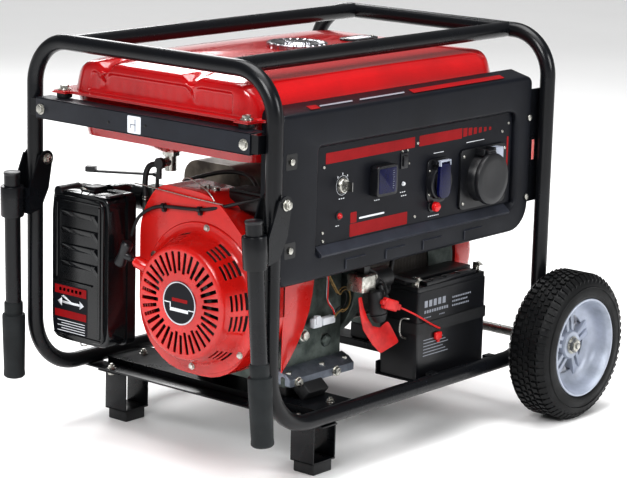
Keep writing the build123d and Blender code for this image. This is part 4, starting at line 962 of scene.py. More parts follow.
class GENERATOR_OT_panel(bpy.types.Operator):
    """Moulded panel surround, switch plate and its fittings"""
    bl_idname = "generator.panel"
    bl_label = "Control panel"

    def execute(self, context):
        self.surround(context.scene.generator_sizes.panel_edge * 1000)
        self.plate()
        self.fittings()
        self.sockets()
        return {"FINISHED"}

    def surround(self, edge):
        y = PANEL_Y
        bm = bmesh.new()
        outer = corner_face(bm, [(26, y, 317), (660, y, 317), (660, y, 574), (26, y, 574)],
                            (18, 46, 14, 12), 8)
        inner = corner_face(bm, [(110, y, 354), (624, y, 354), (622, y, 521), (112, y, 521)],
                            (7, 26, 26, 9), 8)
        outer_edges, inner_edges = list(outer.edges), list(inner.edges)
        bmesh.ops.delete(bm, geom=[outer, inner], context="FACES_ONLY")
        bmesh.ops.bridge_loops(bm, edges=outer_edges + inner_edges)
        made = bmesh.ops.extrude_edge_only(bm, edges=inner_edges)["geom"]
        verts = [g for g in made if isinstance(g, bmesh.types.BMVert)]
        bmesh.ops.translate(bm, vec=(0, 8.9, 0), verts=verts)
        for vert in verts:
            vert.co.z = max(vert.co.z, 367.0) if vert.co.z < 380 else min(vert.co.z, 516.0)
            vert.co.x = min(max(vert.co.x, 116.0), 616.0)
        made = bmesh.ops.extrude_edge_only(bm, edges=outer_edges)["geom"]
        verts = [g for g in made if isinstance(g, bmesh.types.BMVert)]
        bmesh.ops.translate(bm, vec=(0, 38, 0), verts=verts)
        for vert in verts:
            vert.co.z += 8.0 if vert.co.z > 540 else 0.0
        bevel(bm, outer_edges, edge, 5)
        bevel(bm, inner_edges, 3.5, 4)
        keep_piece(bm, "panel_surround", "textured_abs", stands_for=["panel_bezel"], sharp=50, wall=3.0)
        # Lip under the opening and four ribs, in lighter ABS as a painted highlight on their lit faces.
        bm = bmesh.new()
        prism(bm, [(118, y + 8, 366.5), (118, y - 3.6, 357.5), (118, y - 5.6, 354.5), (118, y - 4, 351),
                   (118, y + 2, 349)], (482, 0, 0), edge=0.8, segments=3)
        for a in (204, 302, 396, 505):
            prism(bm, [(a - 22, y + 0.5, 341), (a - 22, y - 2.6, 339), (a - 22, y + 0.5, 337)], (46, 0, 0),
                  edge=0.5)
            prism(bm, [(a - 24, y + 0.5, 324), (a - 24, y - 1.8, 324), (a - 24, y - 2.4, 337),
                       (a - 24, y + 0.5, 341)], (2.2, 0, 0), edge=0.6)
        keep_piece(bm, "panel_lip_and_ribs", "abs_painted_highlight", sharp=50)
        # Dark pads round the left panel bolts: painted shade for their square recessed pockets.
        bm = bmesh.new()
        a = PANEL_BOLT_A
        for z in PANEL_BOLT_Z:
            pad(bm, (a - 12, y - 0.3, z - 12), (a + 13, y - 0.3, z + 12), (0, 0.9, 0), 3, edge=0)
        keep_piece(bm, "panel_screw_pocket_shade", "satin_black_paint")
        self.top_stripes()

    def top_stripes(self):
        slope = 8 / 38
        for name, material, a0, a1, y0, y1 in (("top_stripe_red_short", "printed_film_red", 102, 124, -231,
                                                -217), ("top_stripe_grey_a", "printed_film_grey", 128, 205,
                                                        -226, -221), ("top_stripe_grey_b",
                                                                      "printed_film_grey", 222, 332, -226,
                                                                      -221), ("top_stripe_red_long",
                                                                              "printed_film_red", 348, 590,
                                                                              -231, -217)):
            bm = bmesh.new()
            low, high = 574 + (y0 + 240) * slope, 574 + (y1 + 240) * slope
            slant = 5
            prism(bm, [(a0, y0, low + 0.12), (a1, y0, low + 0.12), (a1 + slant, y1, high + 0.12),
                       (a0 + slant, y1, high + 0.12)], (0, 0, -0.3), edge=0)
            keep_piece(bm, name, material)

    def plate(self):
        y = PLATE_Y
        bm = bmesh.new()
        slab(bm, (110, y, 360), (622, y + 2.5, 522), 0.2, 1)
        keep_piece(bm, "switch_plate", "printed_film_black", stands_for=["panel_faceplate"])
        stripes = (("plate_stripe_long", "printed_film_red", 139, 356, 489, 506),
                   ("plate_stripe_mid", "printed_film_red", 367, 479, 489, 506),
                   ("plate_stripe_side", "printed_film_red", 603, 608, 428, 478),
                   ("plate_band_low", "printed_film_red", 200, 342, 369, 389),
                   ("plate_band_tab", "printed_film_red", 201, 216, 390, 407),
                   ("plate_band_line", "printed_film_white", 222, 284, 394, 397))
        for name, material, a0, a1, z0, z1 in stripes:
            bm = bmesh.new()
            pad(bm, (a0, y - 0.02, z0), (a1, y - 0.02, z1), (0, -0.22, 0), 1.5, edge=0)
            keep_piece(bm, name, material)
        # Stepped red blocks that carry the upper stripe on.
        bm = bmesh.new()
        for i in range(6):
            slab(bm, (482 + 14 * i, y - 0.2, 491 + 0.6 * i), (493 + 13 * i, y + 0.1, 505 - 1.1 * i), 0, 1)
        keep_piece(bm, "plate_stripe_fade", "printed_film_red")
        # Small unlettered index marks under the fittings.
        bm = bmesh.new()
        for a, z, count in ((172, 431, 3), (258, 417, 3), (322, 421, 3), (325, 415, 3), (166, 390, 2),
                            (396, 372, 6)):
            for i in range(count):
                slab(bm, (a + 5 * i, y - 0.2, z), (a + 3 + 5 * i, y + 0.1, z + 1.6), 0, 1)
        for a0, a1, z in ((405, 432, 473), (492, 540, 480)):
            slab(bm, (a0, y - 0.2, z), (a1, y + 0.1, z + 1.2), 0, 1)
        keep_piece(bm, "plate_index_marks", "printed_film_white")
        screws("plate_screws", [(135, y, 485), (135, y, 385), (589, y, 488), (363, y, 495), (361, y, 378),
                                (136, y, 372), (606, y, 500)], 2.8)

    def fittings(self):
        y = PLATE_Y
        # Key switch: zinc ring with a slotted barrel.
        bm = bmesh.new()
        turned(bm, [(5.2, 0), (12.5, 0), (12.5, 2.2), (10.8, 5.2), (9.4, 5.6), (8.2, 4.4), (5.2, 4.2)],
               (180, y, 452), (0, -1, 0), steps=40, closed=True)
        keep_piece(bm, "key_switch_ring", "zinc_plate")
        bm = bmesh.new()
        turned(bm, [(14.5, 0.1), (15.2, 0.3), (15.2, 0.1)], (180, y, 452), (0, -1, 0), steps=40, closed=True)
        for turn in (-40, 0, 40):
            angle = math.radians(90 + turn)
            spot = Vector((180 + 18 * math.cos(angle), y, 452 + 18 * math.sin(angle)))
            slab(bm, spot + Vector((-0.8, -0.25, -1.6)), spot + Vector((0.8, 0, 1.6)), 0, 1)
        keep_piece(bm, "key_switch_marks", "printed_film_white")
        paint_node("ignition_key", "turned_steel")
        # Oil lamp: red domed lens in a collar.
        bm = bmesh.new()
        turned(bm, [(0, 6.0), (2.5, 5.6), (4.2, 4.0), (5, 1.6), (5, 0)], (173, y, 406), (0, -1, 0), steps=28)
        keep_piece(bm, "oil_lamp_lens", "red_moulding")
        bm = bmesh.new()
        turned(bm, [(5.1, 0), (7.2, 0), (7.0, 1.3), (5.1, 1.6)], (173, y, 406), (0, -1, 0), steps=28,
               closed=True)
        keep_piece(bm, "oil_lamp_collar", "moulded_nylon")
        # Meter: black housing, bright top edge, navy window.
        bm = bmesh.new()
        prism(bm, [(247, y, 426), (297, y, 426), (297, y, 473), (247, y, 473)], (0, -14.6, 0),
              all_corners(4), edge=1.6, segments=3)
        keep_piece(bm, "meter_housing", "moulded_nylon")
        bm = bmesh.new()
        pad(bm, (251, y - 14.2, 430), (293, y - 14.2, 469), (0, -0.9, 0), 2.5, edge=0.4)
        keep_piece(bm, "meter_window", "navy_acrylic")
        bm = bmesh.new()
        for i in range(9):
            slab(bm, (284.5, y - 15.3, 436 + 3.4 * i), (286.5 + 1.5 * (i % 2), y - 15.05, 436.8 + 3.4 * i),
                 0, 1)
        keep_piece(bm, "meter_marks", "printed_film_grey")
        # Breaker rocker and indicator.
        bm = bmesh.new()
        slab(bm, (320, y - 2.2, 459), (338, y, 484), 1.0)
        slab(bm, (323.5, y - 5.6, 463), (334.5, y - 1.8, 480), 1.6, 3)
        keep_piece(bm, "breaker_rocker", "moulded_nylon")
        screws("breaker_screws", [(324, y - 0.5, 487), (337, y - 0.5, 487), (341, y - 0.5, 466)], 2.0)
        bm = bmesh.new()
        turned(bm, [(0, 4.2), (2.2, 3.6), (3.4, 1.8), (3.6, 0)], (329, y, 435), (0, -1, 0), steps=24)
        keep_piece(bm, "ready_lamp", "printed_film_white")
        # Reset knob.
        bm = bmesh.new()
        turned(bm, [(0, 13.4), (5.4, 13.2), (7.4, 12.2), (8, 10.5), (8, 6.5), (3.8, 6.4), (3.8, 3.5),
                    (0, 3.5)], (405, y, 389), (0, -1, 0), steps=36)
        slab(bm, (398.5, y - 13.9, 386.8), (411.5, y - 12.6, 391.2), 0.8)
        keep_piece(bm, "reset_cap", "red_moulding", "reset_button", stands_for=["reset_button"])
        bm = bmesh.new()
        turned(bm, [(5.2, 0), (10.5, 0), (10.3, 1.9), (9, 2.6), (5.2, 2.7)], (405, y, 389), (0, -1, 0),
               steps=36, closed=True)
        keep_piece(bm, "reset_collar", "moulded_nylon")

    def sockets(self):
        y = PLATE_Y
        a, z = 415, 427
        bm = bmesh.new()
        prism(bm, [(a - 27, y, z - 34), (a + 27, y, z - 34), (a + 27, y, z + 38), (a - 27, y, z + 38)],
              (0, -3, 0), {0: 16, 1: 16, 2: 8, 3: 8}, edge=0.8)
        turned(bm, [(20, 3), (20, 11.6), (21.5, 12.2), (25.5, 12.2), (27, 10.8), (27.4, 2.8)], (a, y, z),
               (0, -1, 0), steps=48)
        turned(bm, [(0, 3.2), (20, 3.2)], (a, y, z), (0, -1, 0), steps=48)
        for side in (-14, 14):
            slab(bm, (a + side - 3, y - 12, z + 30), (a + side + 3, y - 2.8, z + 36.4), 0.9)
        keep_piece(bm, "mains_socket_body", "moulded_nylon", stands_for=["ac_socket"])
        bm = bmesh.new()
        prism(bm, [(a - 15, y - 12.6, z - 24), (a + 15, y - 12.6, z - 24), (a + 13, y - 12.6, z + 31),
                   (a - 13, y - 12.6, z + 31)], (0, -5.2, 0), {0: 11, 1: 11, 2: 4, 3: 4}, edge=1.4,
              segments=3)
        rod(bm, (a - 10.4, y - 13, z + 33), (a + 10.4, y - 13, z + 33), 3.2, edge=0.5)
        slab(bm, (a - 10.4, y - 13.2, z + 31), (a + 10.4, y - 7, z + 35), 0.6)
        keep_piece(bm, "mains_socket_lid", "navy_acrylic", "ac_lid", stands_for=["ac_lid"])
        bm = bmesh.new()
        slab(bm, (a - 13, y - 18.6, z + 34.4), (a + 13, y - 12, z + 37.5), 1.0)
        for side in (-12.5, 12.5):
            slab(bm, (a + side - 1.2, y - 18.6, z + 28), (a + side + 1.2, y - 14, z + 37), 0.5)
        rod(bm, (a - 16.4, y - 9, z + 33), (a + 16.4, y - 9, z + 33), 1.5)
        keep_piece(bm, "mains_socket_hinge", "silver_wheel_paint", "ac_lid")
        screws("mains_socket_screws", [(a - 22, y - 3, z + 20), (a - 22, y - 3, z - 18),
                                       (a + 22, y - 3, z - 18)], 2.2)

        a, z = 536, 420
        bm = bmesh.new()
        pad(bm, (a - 62, y, z - 48), (a + 62, y, z + 50), (0, -4, 0), 9, edge=1.0, segments=3)
        turned(bm, [(30, 4), (30, 19.6), (32, 20.2), (37.2, 20.2), (38.5, 18.5), (39.5, 4)], (a - 6, y, z),
               (0, -1, 0), steps=56)
        turned(bm, [(0, 6.2), (30, 6.2)], (a - 6, y, z), (0, -1, 0), steps=56)
        for side in (-14, 14):
            slab(bm, (a - 9 + side, y - 20, z + 38), (a - 3 + side, y - 3, z + 49.4), 1.0)
        keep_piece(bm, "heavy_socket_body", "moulded_nylon", stands_for=["heavy_socket"])
        bm = bmesh.new()
        turned(bm, [(0, 28.6), (14, 29.0), (30, 30.0), (38, 30.0), (41.4, 28.4), (42.4, 25.5), (42.4, 21.5),
                    (40.5, 20.5), (0, 20.5)], (a - 6, y, z), (0, -1, 0), steps=64)
        slab(bm, (a - 16, y - 26, z + 34), (a + 4, y - 20.4, z + 44), 1.0)
        slab(bm, (a - 16, y - 24, z + 42), (a + 4, y - 13, z + 47.6), 1.0)
        rod(bm, (a - 22.4, y - 16, z + 45), (a + 10.4, y - 16, z + 45), 2.0, edge=0.4)
        keep_piece(bm, "heavy_socket_lid", "moulded_nylon", "heavy_lid", stands_for=["heavy_lid"])
        bm = bmesh.new()
        prism(bm, [(a + 8, y - 5, z + 48), (a + 34, y - 5, z + 48), (a + 34, y - 5, z + 24),
                   (a + 20, y - 5, z + 26)], (0, -13, 0), {0: 1, 1: 2, 2: 2, 3: 2}, edge=1.0)
        keep_piece(bm, "heavy_socket_latch", "silver_wheel_paint")
        screws("heavy_socket_screws", [(a - 54, y - 4, z + 39), (a - 54, y - 4, z - 38),
                                       (a + 53, y - 4, z - 33), (a + 56, y - 4, z + 41)], 3.0)


# ------------------------------------------------------------------ engine

class GENERATOR_OT_engine(bpy.types.Operator):
    """Fan shroud, recoil starter, air cleaner and engine fittings"""
    bl_idname = "generator.engine"
    bl_label = "Engine"

    def execute(self, context):
        for node, material in (("engine_block", "cast_aluminium"), ("cylinder_head", "cast_aluminium"),
                               ("rocker_cover", "cast_aluminium"), ("crankshaft", "turned_steel"),
                               ("flywheel_fan", "cast_aluminium"), ("recoil_pulley", "moulded_nylon"),
                               ("air_cleaner_base", "polished_abs"), ("air_cleaner_element", "filter_paper"),
                               ("intake_elbow", "polished_abs"), ("carburettor", "cast_aluminium"),
                               ("choke_lever", "moulded_nylon"), ("governor_lever", "zinc_plate"),
                               ("silencer", "heated_steel"), ("starter_motor", "satin_black_paint")):
            paint_node(node, material)
        self.shroud()
        self.recoil()
        self.badge()
        self.grip()
        self.air_cleaner()
        self.controls()
        self.side_details()
        return {"FINISHED"}

    def shroud(self):
        bm = bmesh.new()
        prism(bm, [(70, -152, 139), (70, -152, 352), (70, -70, 427), (70, 46, 431), (70, 86, 377),
                   (70, 86, 139)], (74.5, 0, 0), {0: 100, 1: 30, 2: 30, 3: 22, 4: 30, 5: 100}, edge=6.0,
              segments=4, corner_segments=9)
        prism(bm, [(141, -152, 150), (158, -152, 166), (176, -152, 188), (192, -152, 212), (204, -152, 238),
                   (211, -152, 264), (215, -152, 292), (217, -152, 344), (141, -152, 344)],
              (0, 2.2, 0), edge=0.7)
        keep_piece(bm, "shroud_pressing", "red_engine_enamel", stands_for=["fan_shroud"], sharp=40)
        # Black disc behind the recoil slots: painted shade for the dark inside of the shroud.
        bm = bmesh.new()
        rod(bm, (69.2, CRANK.y, CRANK.z), (70.4, CRANK.y, CRANK.z), 104, steps=56)
        keep_piece(bm, "shroud_inlet_shade_disc", "moulded_nylon")

    def recoil(self):
        profile = [(0.0, 20), (30, 20), (35, 20), (46, 20), (50.5, 20), (65, 20), (80, 20), (82, 20),
                   (84.5, 20.4), (87.0, 21.4), (88.8, 23.2), (90.2, 26), (91.4, 30), (92.8, 34),
                   (94.2, 38), (95.6, 42), (97.0, 46), (98.4, 50), (99.8, 54), (101.2, 58), (103, 62),
                   (106.5, 65), (112, 66.2), (117.5, 66.6), (119, 68), (119, 70)]
        bm = bmesh.new()
        steps = 72
        turned(bm, profile, (0, CRANK.y, CRANK.z), (1, 0, 0), steps=steps)
        bmesh.ops.remove_doubles(bm, verts=bm.verts, dist=0.01)

        def polar(point):
            """Radius and angle; 0 points to -Y and 90 points up."""
            y, z = point.y - CRANK.y, point.z - CRANK.z
            return math.hypot(y, z), math.degrees(math.atan2(z, -y)) % 360

        start = min(polar(v.co)[1] for v in bm.verts if abs(polar(v.co)[0] - 65) < 0.5)
        pitch = 360 / steps
        groups = ((-62, -47), (-22, -7), (-2, 13), (32, 47), (52, 67), (98, 113), (118, 133), (170, 185),
                  (190, 205))
        gone = []
        for face in bm.faces:
            middle = face.calc_center_median()
            r, angle = polar(middle)
            index = int((angle - start) / pitch + 100 * steps) % steps
            if 50.5 < r < 80 and middle.x < 20.6 and index % 2 == 0:
                gone.append(face)
            elif 46 < r < 50.5 and middle.x < 20.6 and index % 4 == 0:
                gone.append(face)
            elif middle.x > 30 and any((angle - low) % 360 < high - low for low, high in groups):
                if any(low < middle.x < low + 4 for low in (34, 42, 50, 58)):
                    gone.append(face)
        bmesh.ops.delete(bm, geom=gone, context="FACES")
        # Make the face slots parallel sided.
        for vert in bm.verts:
            r, angle = polar(vert.co)
            if vert.co.x < 20.1 and 45 < r < 81:
                index = round((angle - start) / pitch)
                left = index % 2 == 0
                centre = math.radians(start + (index + (0.5 if left else -0.5)) * pitch)
                shift = -2.7 if left else 2.7
                radial = Vector((0, -math.cos(centre), math.sin(centre)))
                across = Vector((0, math.sin(centre), math.cos(centre)))
                vert.co = Vector((vert.co.x, CRANK.y, CRANK.z)) + radial * r + across * shift
        piece = keep_piece(bm, "recoil_cover", "red_engine_enamel", stands_for=["recoil_housing"],
                           sharp=32, wall=2.2)
        round_off = piece.modifiers.new("Edges", "BEVEL")
        round_off.width = 0.0005
        round_off.segments = 2
        round_off.limit_method = "ANGLE"
        round_off.angle_limit = math.radians(50)
        bm = bmesh.new()
        for angle in (14, 84, 152, 214, 262, 318):
            turn = math.radians(angle)
            spot = Vector((66.4, CRANK.y - 112.5 * math.cos(turn), CRANK.z + 112.5 * math.sin(turn)))
            hexagon(bm, spot, (-1, 0, 0), 8, 3.8, edge=0.5)
        keep_piece(bm, "recoil_cover_bolts", "zinc_plate")
        bm = bmesh.new()
        rod(bm, (44, 36, 298), (36, 61, 309), 9.5, edge=1.5, steps=28)
        rod(bm, (36.5, 59.4, 308.3), (35.2, 63.5, 310.2), 7.5, edge=1.0, steps=28)
        keep_piece(bm, "rope_guide", "red_engine_enamel")
        bm = bmesh.new()
        rod(bm, (37, 58, 308), (34, 67.4, 312.4), 2.4)
        keep_piece(bm, "starter_rope", "moulded_rubber")

    def badge(self):
        centre = (0, CRANK.y, CRANK.z)
        bm = bmesh.new()
        turned(bm, [(0, 18.7), (31.6, 18.7), (31.6, 20)], centre, (1, 0, 0), steps=56)
        keep_piece(bm, "badge_disc", "printed_film_black")
        bm = bmesh.new()
        turned(bm, [(31.6, 20), (31.6, 18.5), (33.2, 18.2), (34.2, 18.6), (34.4, 20)], centre, (1, 0, 0),
               steps=56)
        keep_piece(bm, "badge_ring", "chrome_plate")
        bm = bmesh.new()
        y, z = CRANK.y, CRANK.z
        for y0, y1, z0, z1 in ((31, 19, -2.2, -0.4), (-19, -31, -9.2, -7.4)):
            slab(bm, (18.45, y + min(y0, y1), z + z0), (18.75, y + max(y0, y1), z + z1), 0, 1)
        slab(bm, (18.45, y - 19, z - 14), (18.75, y + 19, z - 8.6), 0, 1)
        slab(bm, (18.45, y + 17.5, z - 9.5), (18.75, y + 19.5, z - 0.4), 0, 1)
        keep_piece(bm, "badge_band", "printed_film_white")
        bm = bmesh.new()
        slab(bm, (18.45, y - 17, z + 1.5), (18.75, y + 15, z + 7), 0, 1)
        keep_piece(bm, "badge_bar", "printed_film_red")

    def grip(self):
        a, y, z = 28.0, 80.0, 319.0
        bm = bmesh.new()
        start, end = Vector((a, y + 10, z - 20)), Vector((a, y - 9, z + 20))
        along = end - start
        turned(bm, [(0, 0), (6.5, 0.4), (9.2, 3.0), (9.6, 9), (8.6, 15), (8.2, along.length / 2),
                    (8.6, along.length - 15), (9.6, along.length - 9), (9.2, along.length - 3.0),
                    (6.5, along.length - 0.4), (0, along.length)], start, along, steps=28)
        rod(bm, (a, y, z), (a + 5.0, y - 13.4, z - 6.4), 8.0, end_r=5.6, edge=0.8)
        keep_piece(bm, "starter_handle", "moulded_nylon", "recoil_grip", stands_for=["recoil_grip"], sharp=40)

    def air_cleaner(self):
        bm = bmesh.new()
        prism(bm, [(62, 107, 160), (62, 232, 160), (62, 232, 402), (62, 107, 402)], (-41, 0, 0),
              all_corners(14), edge=4.0, segments=4)
        prism(bm, [(24, 113, 166), (24, 226, 166), (24, 226, 396), (24, 113, 396)], (-9, 0, 0),
              all_corners(12), edge=3.5, segments=4)
        # Ledges across the upper half, a plain band below them and a frame at the rim.
        for z in (374, 347, 320, 293):
            prism(bm, [(16, 136, z), (10.8, 136, z - 1.0), (10.4, 136, z - 3.4), (16, 136, z - 12)],
                  (0, 68, 0), edge=0.7)
            prism(bm, [(16, 136, z), (10.8, 136, z - 1.0), (10.4, 136, z - 3.4), (16, 124, z - 22)],
                  (0, -8, 0), edge=0.5)
        slab(bm, (12.2, 136, 257), (16, 204, 260), 1.0)
        prism(bm, [(16, 118, 174), (13, 118, 176), (13, 118, 386), (16, 118, 388)], (0, 5, 0), edge=0.9)
        prism(bm, [(16, 212, 262), (12.4, 212, 264), (12.4, 212, 384), (16, 212, 386)], (0, 10, 0), edge=1.2)
        for z0, z1 in ((388, 391), (170, 173)):
            slab(bm, (13.4, 118, z0), (16, 222, z1), 0.9)
        keep_piece(bm, "air_cleaner_shell", "polished_abs", stands_for=["air_cleaner_cover"], sharp=40)
        bm = bmesh.new()
        prism(bm, [(14.9, 147, 173.5), (14.9, 222, 173.5), (14.9, 222, 252), (14.9, 147, 252)], (-0.3, 0, 0),
              all_corners(3), edge=0)
        keep_piece(bm, "cleaner_label", "printed_film_black")
        bm = bmesh.new()
        for z0, z1 in ((236, 250), (198, 210)):
            slab(bm, (14.3, 149, z0), (14.65, 220, z1), 0, 1)
        keep_piece(bm, "cleaner_label_red", "printed_film_red")
        bm = bmesh.new()
        # Plain two-way arrow between the bars and a block of index lines below.
        for points in (((164, 221), (204, 221), (204, 225), (164, 225)),
                       ((204, 216), (214, 223), (204, 230)), ((164, 216), (164, 230), (154, 223)),
                       ((182, 225), (188, 225), (206, 232), (200, 234))):
            bm.faces.new([bm.verts.new((14.45, y, z)) for y, z in points])
        for i in range(5):
            slab(bm, (14.3, 152, 192 - 4.2 * i), (14.65, 214 - 9 * (i % 2), 193.2 - 4.2 * i), 0, 1)
        for i in range(6):
            slab(bm, (14.3, 160 + 9 * i, 241), (14.65, 165 + 9 * i, 246), 0, 1)
        keep_piece(bm, "cleaner_label_marks", "printed_film_white", wall=0.1)
        # Over-centre clips, top and bottom, with wire bails.
        bm = bmesh.new()
        slab(bm, (38, 158, 401), (60, 186, 405), 1.2)
        slab(bm, (44, 160, 404), (72, 184, 409.6), 1.4)
        slab(bm, (44, 160, 152.4), (72, 184, 157), 1.4)
        slab(bm, (40, 158, 156), (60, 186, 160.6), 1.2)
        rod(bm, (20, 219, 398), (66, 219, 398), 9.5, edge=1.4)
        slab(bm, (24, 108, 402), (58, 118, 406), 1.5)
        keep_piece(bm, "cleaner_clips", "moulded_nylon")
        cable("cleaner_bail_top", [(40, 163, 400), (30, 163, 408), (27, 172, 411), (30, 181, 408),
                                   (40, 181, 400)], 2.0, "zinc_plate")
        cable("cleaner_bail_low", [(40, 163, 162), (32, 163, 155), (29, 172, 152), (32, 181, 155),
                                   (40, 181, 162)], 2.0, "zinc_plate")

    def controls(self):
        # Throttle rod, its linkage and the black control sleeve with two ties over the shroud.
        cable("throttle_rod", [(66, 94, 424), (66, 20, 421), (66, -40, 418), (66, -92, 417)], 1.9,
              "zinc_plate")
        cable("throttle_link", [(74, 0, 440), (70, -10, 450), (68, -40, 442), (66, -66, 431),
                                (66, -74, 420)], 2.4, "zinc_plate")
        cable("control_sleeve", [(64, 98, 340), (64, 92, 362), (65, 76, 380), (66, 50, 393), (66, 27, 397),
                                 (66, -20, 400), (66, -52, 403), (74, -84, 411), (92, -116, 422),
                                 (116, -140, 430)], 5.4, "moulded_rubber")
        bm = bmesh.new()
        for y, z in ((32, 396.6), (-44, 402.4)):
            turned(bm, [(2.8, -3), (4.8, -3), (4.8, 3), (2.8, 3)], (66, y, z), (0, -1, 0.06), steps=20,
                   closed=True)
            slab(bm, (64, y - 3, z - 9), (71, y + 3, z - 2), 1.0)
        keep_piece(bm, "sleeve_ties", "moulded_nylon")
        bm = bmesh.new()
        prism(bm, [(92, -20, 418), (108, -20, 418), (112, -20, 430), (92, -20, 434)], (0, -8, 0), edge=0.8)
        slab(bm, (96, -60, 418), (124, -14, 421), 0.8)
        rod(bm, (104, -42, 420), (104, -42, 432), 7, edge=0.8)
        rod(bm, (98, -32, 421), (98, -32, 436), 3.2, edge=0.6)
        keep_piece(bm, "control_bracket", "zinc_plate")
        bm = bmesh.new()
        slab(bm, (104, -132, 402), (150, -68, 430), 4.0, 3)
        for i in range(7):
            slab(bm, (108 + 6 * i, -134, 404), (110.5 + 6 * i, -66, 434), 0.8)
        keep_piece(bm, "ignition_module", "satin_black_paint")
        cable("plug_lead", [(150, -90, 420), (178, -60, 436), (200, 0, 440), (205, 70, 424),
                            (205, 120, 404)], 7.0, "moulded_rubber")

    def side_details(self):
        # Crankcase feet bolts, tilted rubber and the wiring in front of the crankcase.
        bm = bmesh.new()
        for a in (160, 240, 296):
            rod(bm, (a, -147, 124), (a, -147, 141), 11, edge=2.0)
        rod(bm, (196, -137, 200), (196, -148, 200), 15, edge=2.0)
        rod(bm, (262, -137, 178), (262, -143, 176), 12, end_r=9, edge=1.5)
        keep_piece(bm, "crankcase_side", "cast_aluminium", sharp=35)
        bm = bmesh.new()
        prism(bm, [(150, -136, 152), (150, -150, 147), (150, -161, 138), (150, -161, 126), (150, -136, 126)],
              (158, 0, 0), edge=2.5, segments=3)
        keep_piece(bm, "crankcase_foot", "pale_cast_aluminium", sharp=35)
        bm = bmesh.new()
        for a in (160, 240, 296):
            hexagon(bm, (a, -147, 141), (0, 0, 1), 13, 7)
        hexagon(bm, (196, -148, 200), (0, -1, 0), 14, 7)
        hexagon(bm, (170, -161, 132), (0, -1, 0), 12, 6)
        hexagon(bm, (262, -161, 132), (0, -1, 0), 12, 6)
        keep_piece(bm, "crankcase_bolts", "zinc_plate")
        bm = bmesh.new()
        slab(bm, (-24, -19, -21), (24, 19, 21), 3.5, 3)
        turn = Matrix.Translation((204, -158, 116)) @ Matrix.Rotation(math.radians(40), 4, "X")
        bmesh.ops.scale(bm, vec=(1, 0.8, 0.55), verts=bm.verts)
        bmesh.ops.transform(bm, matrix=turn, verts=bm.verts)
        keep_piece(bm, "tilted_rubber", "moulded_rubber")
        bm = bmesh.new()
        slab(bm, (272, -203, 262), (305, -169, 290), 2.5, 3)
        keep_piece(bm, "solenoid_shell", "zinc_plate")
        bm = bmesh.new()
        for y, z in ((-196, 284), (-180, 270)):
            rod(bm, (304, y, z), (313, y, z), 4, edge=0.6)
            hexagon(bm, (306, y, z), (1, 0, 0), 10, 5)
        keep_piece(bm, "solenoid_studs", "zinc_plate")
        cable("harness_white", [(246, -150, 318), (245, -153, 296), (244, -154, 270), (243, -154, 250),
                                (256, -154, 236), (266, -153, 224)], 3.0, "printed_film_white")
        cable("harness_red", [(240, -150, 316), (243, -157, 290), (242, -157, 262), (241, -157, 246),
                              (258, -157, 232), (262, -155, 222)], 2.4, "red_pvc")
        for number, (grow, depth, finish) in enumerate(((1.0, -160, "tan_wire"), (0.82, -163, "tan_wire"),
                                                        (0.66, -157, "moulded_rubber"))):
            points = [(256, depth + 8, 214)]
            for k in range(9):
                angle = math.radians(-130 + 36 * k)
                points.append((277 + 18 * grow * math.cos(angle), depth, 246 + 21 * grow * math.sin(angle)))
            points.append((240, depth + 8, 300))
            cable(f"harness_loop_{number}", points, 2.3, finish)
        bm = bmesh.new()
        slab(bm, (232, -158, 210), (262, -146, 222), 1.8)
        slab(bm, (212, -156, 208), (233, -145, 224), 2.2)
        slab(bm, (216, -158, 214), (226, -150, 228), 1.5)
        keep_piece(bm, "harness_plug", "printed_film_white")
        cable("loom", [(270, -168, 312), (296, -186, 300), (318, -196, 284), (332, -200, 262),
                       (344, -196, 250), (362, -184, 270), (376, -180, 306)], 8.0, "moulded_rubber")


# ------------------------------------------------------------------ alternator and battery

